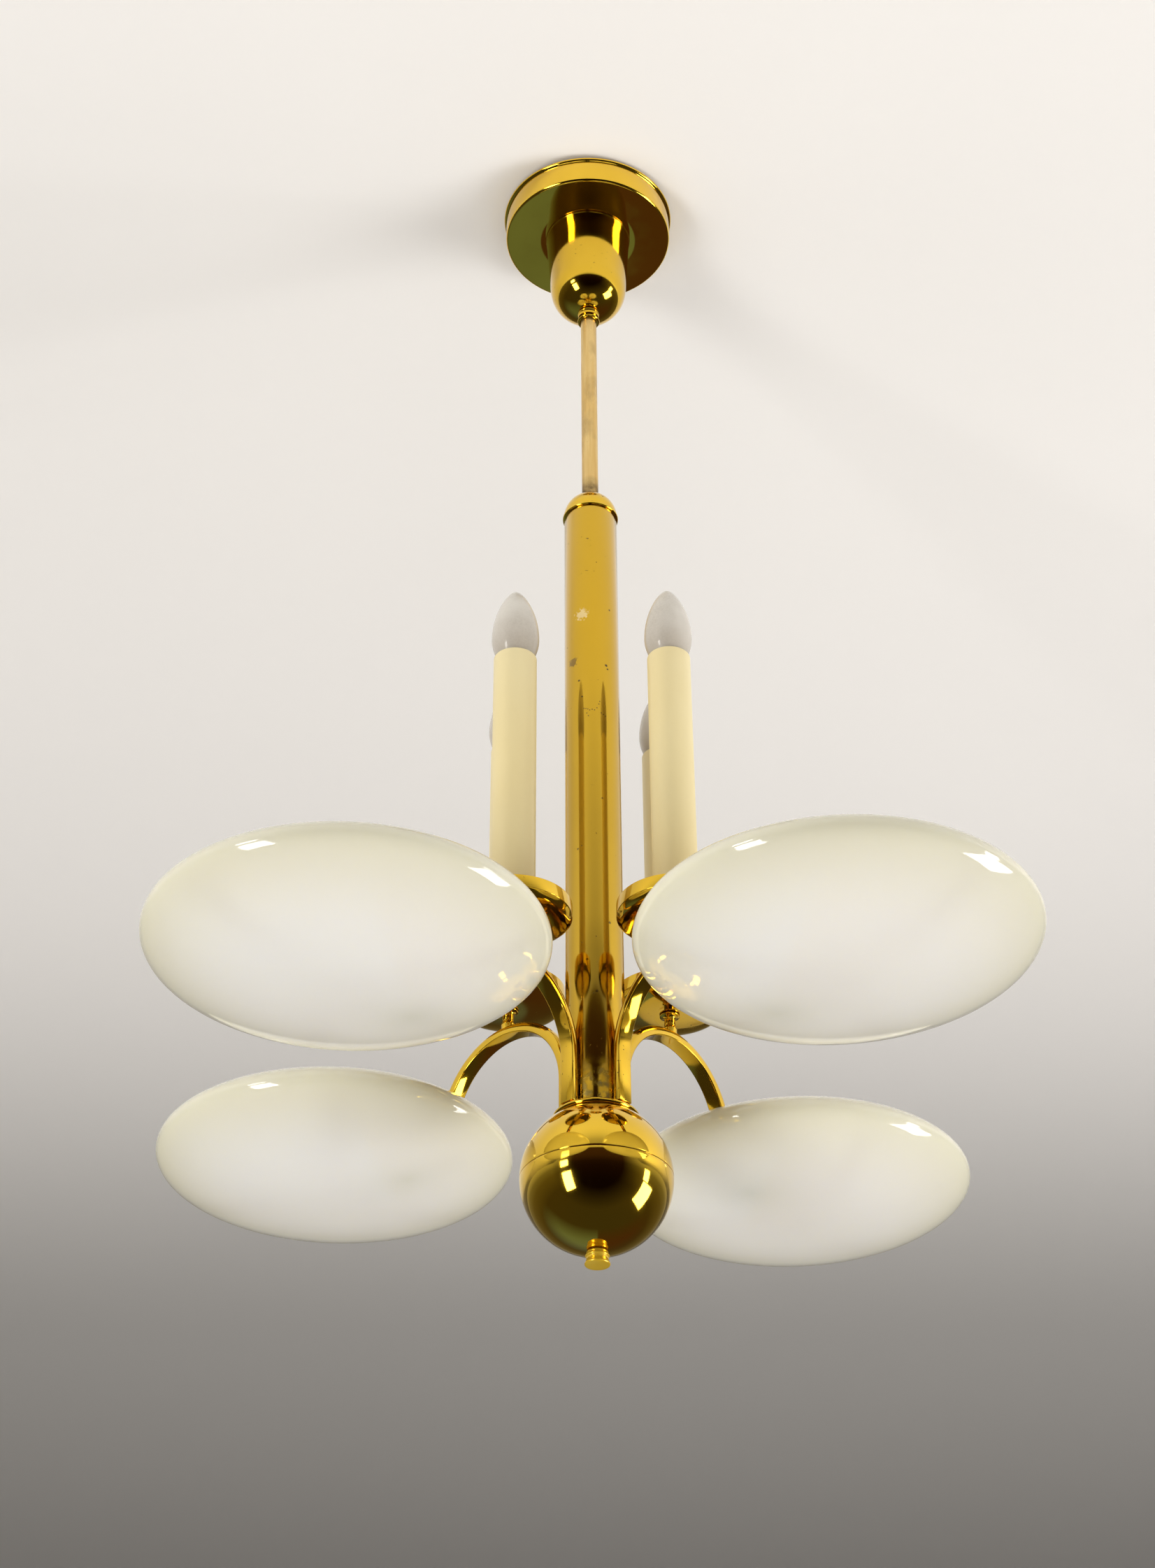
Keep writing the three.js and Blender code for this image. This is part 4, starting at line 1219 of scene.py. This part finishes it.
# %% Lampholder and round bulb
low_foot, low_top = foot_and_top("bowl_holder_1")
low_drawing = at(low_foot, (0, 0), (11.2, 0), (12, 0.8), (12, 5))
for groove in range(3):
    here = low_foot + 6 + 3.4 * groove
    low_drawing += at(here, (12, 0), (11.3, 0.5), (11.3, 1.3), (12, 1.8))
low_drawing += at(low_top, (12, -0.6), (11.4, 0), (0, 0))
low_holder_master = round_edges(turn("low_holder_master", low_drawing, 64), 0.15)

globe_foot, globe_top = foot_and_top("bowl_bulb_1")
GLOBE = radius_of("bowl_bulb_1")
globe_level = globe_top - GLOBE
neck_angle = -math.degrees(math.acos(11 / GLOBE))
globe_drawing = [
    *at(globe_foot, (0, 0), (10.6, 0), (11, 0.4)),
    *bow(GLOBE, GLOBE, (0, globe_level), neck_angle, 90, 36),
]
globe_drawing[-1] = (0, globe_top)
globe_master = round_edges(turn("globe_master", globe_drawing, 72), 0.3, 3, 40)

# %% Four bowls with all they hold
BOWL_PARTS = (  # new name, master, finish, slot, working node
    ("opal_bowl", bowl_master, opal, "opal_glass", "glass_bowl"),
    ("claw_carrier", carrier_master, polished_brass, "polished_brass", "bowl_carrier"),
    ("low_lampholder", low_holder_master, bakelite, "black_bakelite", "bowl_holder"),
    ("round_bulb", globe_master, frosted_round, "frosted_glass", "bowl_bulb"),
)
for number, middle in zip(NUMBERS, bowl_middles):
    pivot = swivels[f"bowl_{number}"]
    facing = math.atan2(middle.y - pivot.y, middle.x - pivot.x)
    for name, master, finish, slot, node in BOWL_PARTS:
        part = copy_to(master, f"{name}_{number}", facing, (middle.x, middle.y, 0))
        body = f"bowl_bulb_{number}" if node == "bowl_bulb" else f"bowl_{number}"
        done(part, body, finish, slot, f"{node}_{number}")
for _, master, *_ in BOWL_PARTS:
    bpy.data.objects.remove(master)
print("four bowls, each on its own swivel")

# %% [markdown]
# ## Fixings under the canopy
#
# The canopy hides the hook, the wire shackle and its bolt, but they show from above and when
# the canopy slides down. The bracket is a flat bar with round ends and two slots. The hook and
# shackle are bent wire, made like the arms: extrude where the wire is straight, spin where it is
# bent.

# %% Ceiling bracket
low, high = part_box("ceiling_bracket")
size = high - low


def rounded_block(name, middle, dimensions, corner, segments=10):
    """A block with its upright corners rounded."""
    put_down()
    long, wide, tall = dimensions
    bpy.ops.mesh.primitive_plane_add(size=1, location=Vector(middle) - Vector((0, 0, tall / 2)))
    block = bpy.context.object
    block.name = name
    block.scale = (long, wide, 1)
    settle(block)
    round_corners(block, lambda point: True, corner / MM, segments)
    choose(block, "FACE", lambda face: True)
    push(0, 0, tall)
    weld()
    return block


fixing_bar = rounded_block("fixing_bar", (low + high) / 2, size, size.y / 2 - 0.00002)
for side in (-1, 1):
    slot_hole = rounded_block("slot_hole", (side * 42 * MM, 0, (low.z + high.z) / 2),
                              (10 * MM, 5 * MM, 12 * MM), 2.48 * MM)
    cut_with(fixing_bar, slot_hole, "slot")
round_edges(fixing_bar, 0.3)
done(fixing_bar, "ceiling_fixing", zinc, "zinc_steel", "ceiling_bracket")
print("bracket", round(size.x / MM), "by", round(size.y / MM), "mm")

# %% Hook and shackle
HOOK_WIRE, HOOK_BEND = 2.2, 8
HOOK_PLATE = 3.3  # the hook starts under the bracket
hook_bottom = foot_of("ceiling_hook") + HOOK_WIRE
bend_level = hook_bottom + HOOK_BEND
put_down()
bpy.ops.mesh.primitive_circle_add(vertices=24, radius=HOOK_WIRE * MM, fill_type="NGON",
                                  location=(0, 0, -HOOK_PLATE * MM))
wire_hook = bpy.context.object
wire_hook.name = "wire_hook"
edit_all(wire_hook)
SIDEWAYS = math.radians(60)
shank_end = bend_level + 2 * HOOK_BEND * math.sin(SIDEWAYS)
push(0, 0, (shank_end + HOOK_PLATE) * MM)
out_middle, bend_middle = (HOOK_BEND * MM, 0, shank_end * MM), (0, 0, bend_level * MM)
bends = ((8, SIDEWAYS, out_middle), (8, -SIDEWAYS, bend_middle), (24, -math.pi, bend_middle))
for count, bend, middle in bends:
    bpy.ops.mesh.spin(steps=count, angle=bend, center=middle, axis=(0, 1, 0))
push(0, 0, 3.6 * MM)
weld()
settle(wire_hook)
round_edges(wire_hook, 0.5, 3, 50)
done(wire_hook, "ceiling_fixing", zinc, "zinc_steel", "ceiling_hook")

SHACKLE_WIRE, SHACKLE_HALF = 1.8, 10
ABOVE_BOLT = 3.4  # where the wire ends in the eye
shackle_bend = top_of("hanger_shackle") - SHACKLE_WIRE - SHACKLE_HALF
put_down()
bpy.ops.mesh.primitive_circle_add(vertices=20, radius=SHACKLE_WIRE * MM, fill_type="NGON",
                                  location=(0, -SHACKLE_HALF * MM, (bolt_level + ABOVE_BOLT) * MM))
wire_shackle = bpy.context.object
wire_shackle.name = "wire_shackle"
edit_all(wire_shackle)
straight = (shackle_bend - bolt_level - ABOVE_BOLT) * MM
push(0, 0, straight)
bpy.ops.mesh.spin(steps=24, angle=math.pi, center=(0, 0, shackle_bend * MM), axis=(1, 0, 0))
push(0, 0, -straight)
weld()
settle(wire_shackle)
eye_drawing = [(2.3, -1.6), (4.2, -1.6), (4.6, -1.2), (4.6, 1.2), (4.2, 1.6), (2.3, 1.6)]
eye_drawing += [eye_drawing[0]]
eyes = []
for side in (-1, 1):
    eye = turn(f"eye_{side}", eye_drawing, 32)
    eye.matrix_world = (Matrix.Translation((0, side * SHACKLE_HALF * MM, bolt_level * MM))
                        @ Matrix.Rotation(math.pi / 2, 4, "X"))
    settle(eye)
    eyes.append(eye)
join(wire_shackle, *eyes)
round_edges(wire_shackle, 0.15)
done(wire_shackle, "hanger", zinc, "zinc_steel", "hanger_shackle")
print("hook bends at", round(bend_level, 1), "and the shackle at", round(shackle_bend, 1), "mm")

# %% Cross bolt and connector block
bolt_drawing = [(0, -13.7), (1.8, -13.7), (2.0, -13.4), (2.0, 13.2), (1.6, 13.9), (0, 13.9)]
cross_bolt = turn("cross_bolt", bolt_drawing, 32)
bolt_head = round_edges(round_bar(6, 3.8, 2.9, (0, 0, -13.4)), 0.3)
settle(bolt_head)
bolt_nut = round_edges(round_bar(6, 3.7, 1.8, (0, 0, 12.85)), 0.3)
settle(bolt_nut)
join(cross_bolt, bolt_head, bolt_nut)
at_bolt = Matrix.Translation((0, 0, bolt_level * MM))
cross_bolt.matrix_world = at_bolt @ Matrix.Rotation(math.pi / 2, 4, "X")
settle(cross_bolt)
round_edges(cross_bolt, 0.15)
done(cross_bolt, "hanger", zinc, "zinc_steel", "shackle_bolt")

low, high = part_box("terminal_block")
size = high - low
connector = rounded_block("connector", (low + high) / 2, size, 1.2 * MM, 4)
middle = (low + high) / 2 / MM
for way in (-6, 0, 6):
    for face_side in (-1, 1):
        mouth = (middle.x + way, middle.y + face_side * size.y / 2 / MM, middle.z - 1.5)
        cut_with(connector, round_bar(24, 1.9, 8, mouth, ALONG_Y), "way")
round_edges(connector, 0.4)
done(connector, "ceiling_fixing", porcelain, "white_porcelain", "terminal_block")
print("bolt and a three-way connector")

# %% [markdown]
# ## What stays as it is
#
# The tie rod and the hub nut are inside the tube and the ball, where nobody looks. Their plain
# working shapes are right, so they keep them and only get the steel finish.

# %% Finish the kept nodes
for node in ("tie_rod", "hub_nut"):
    kept = frame["nodes"][node]
    kept.data.materials.clear()
    kept.data.materials.append(zinc)
print("kept nodes finished; new pieces:", len(made))
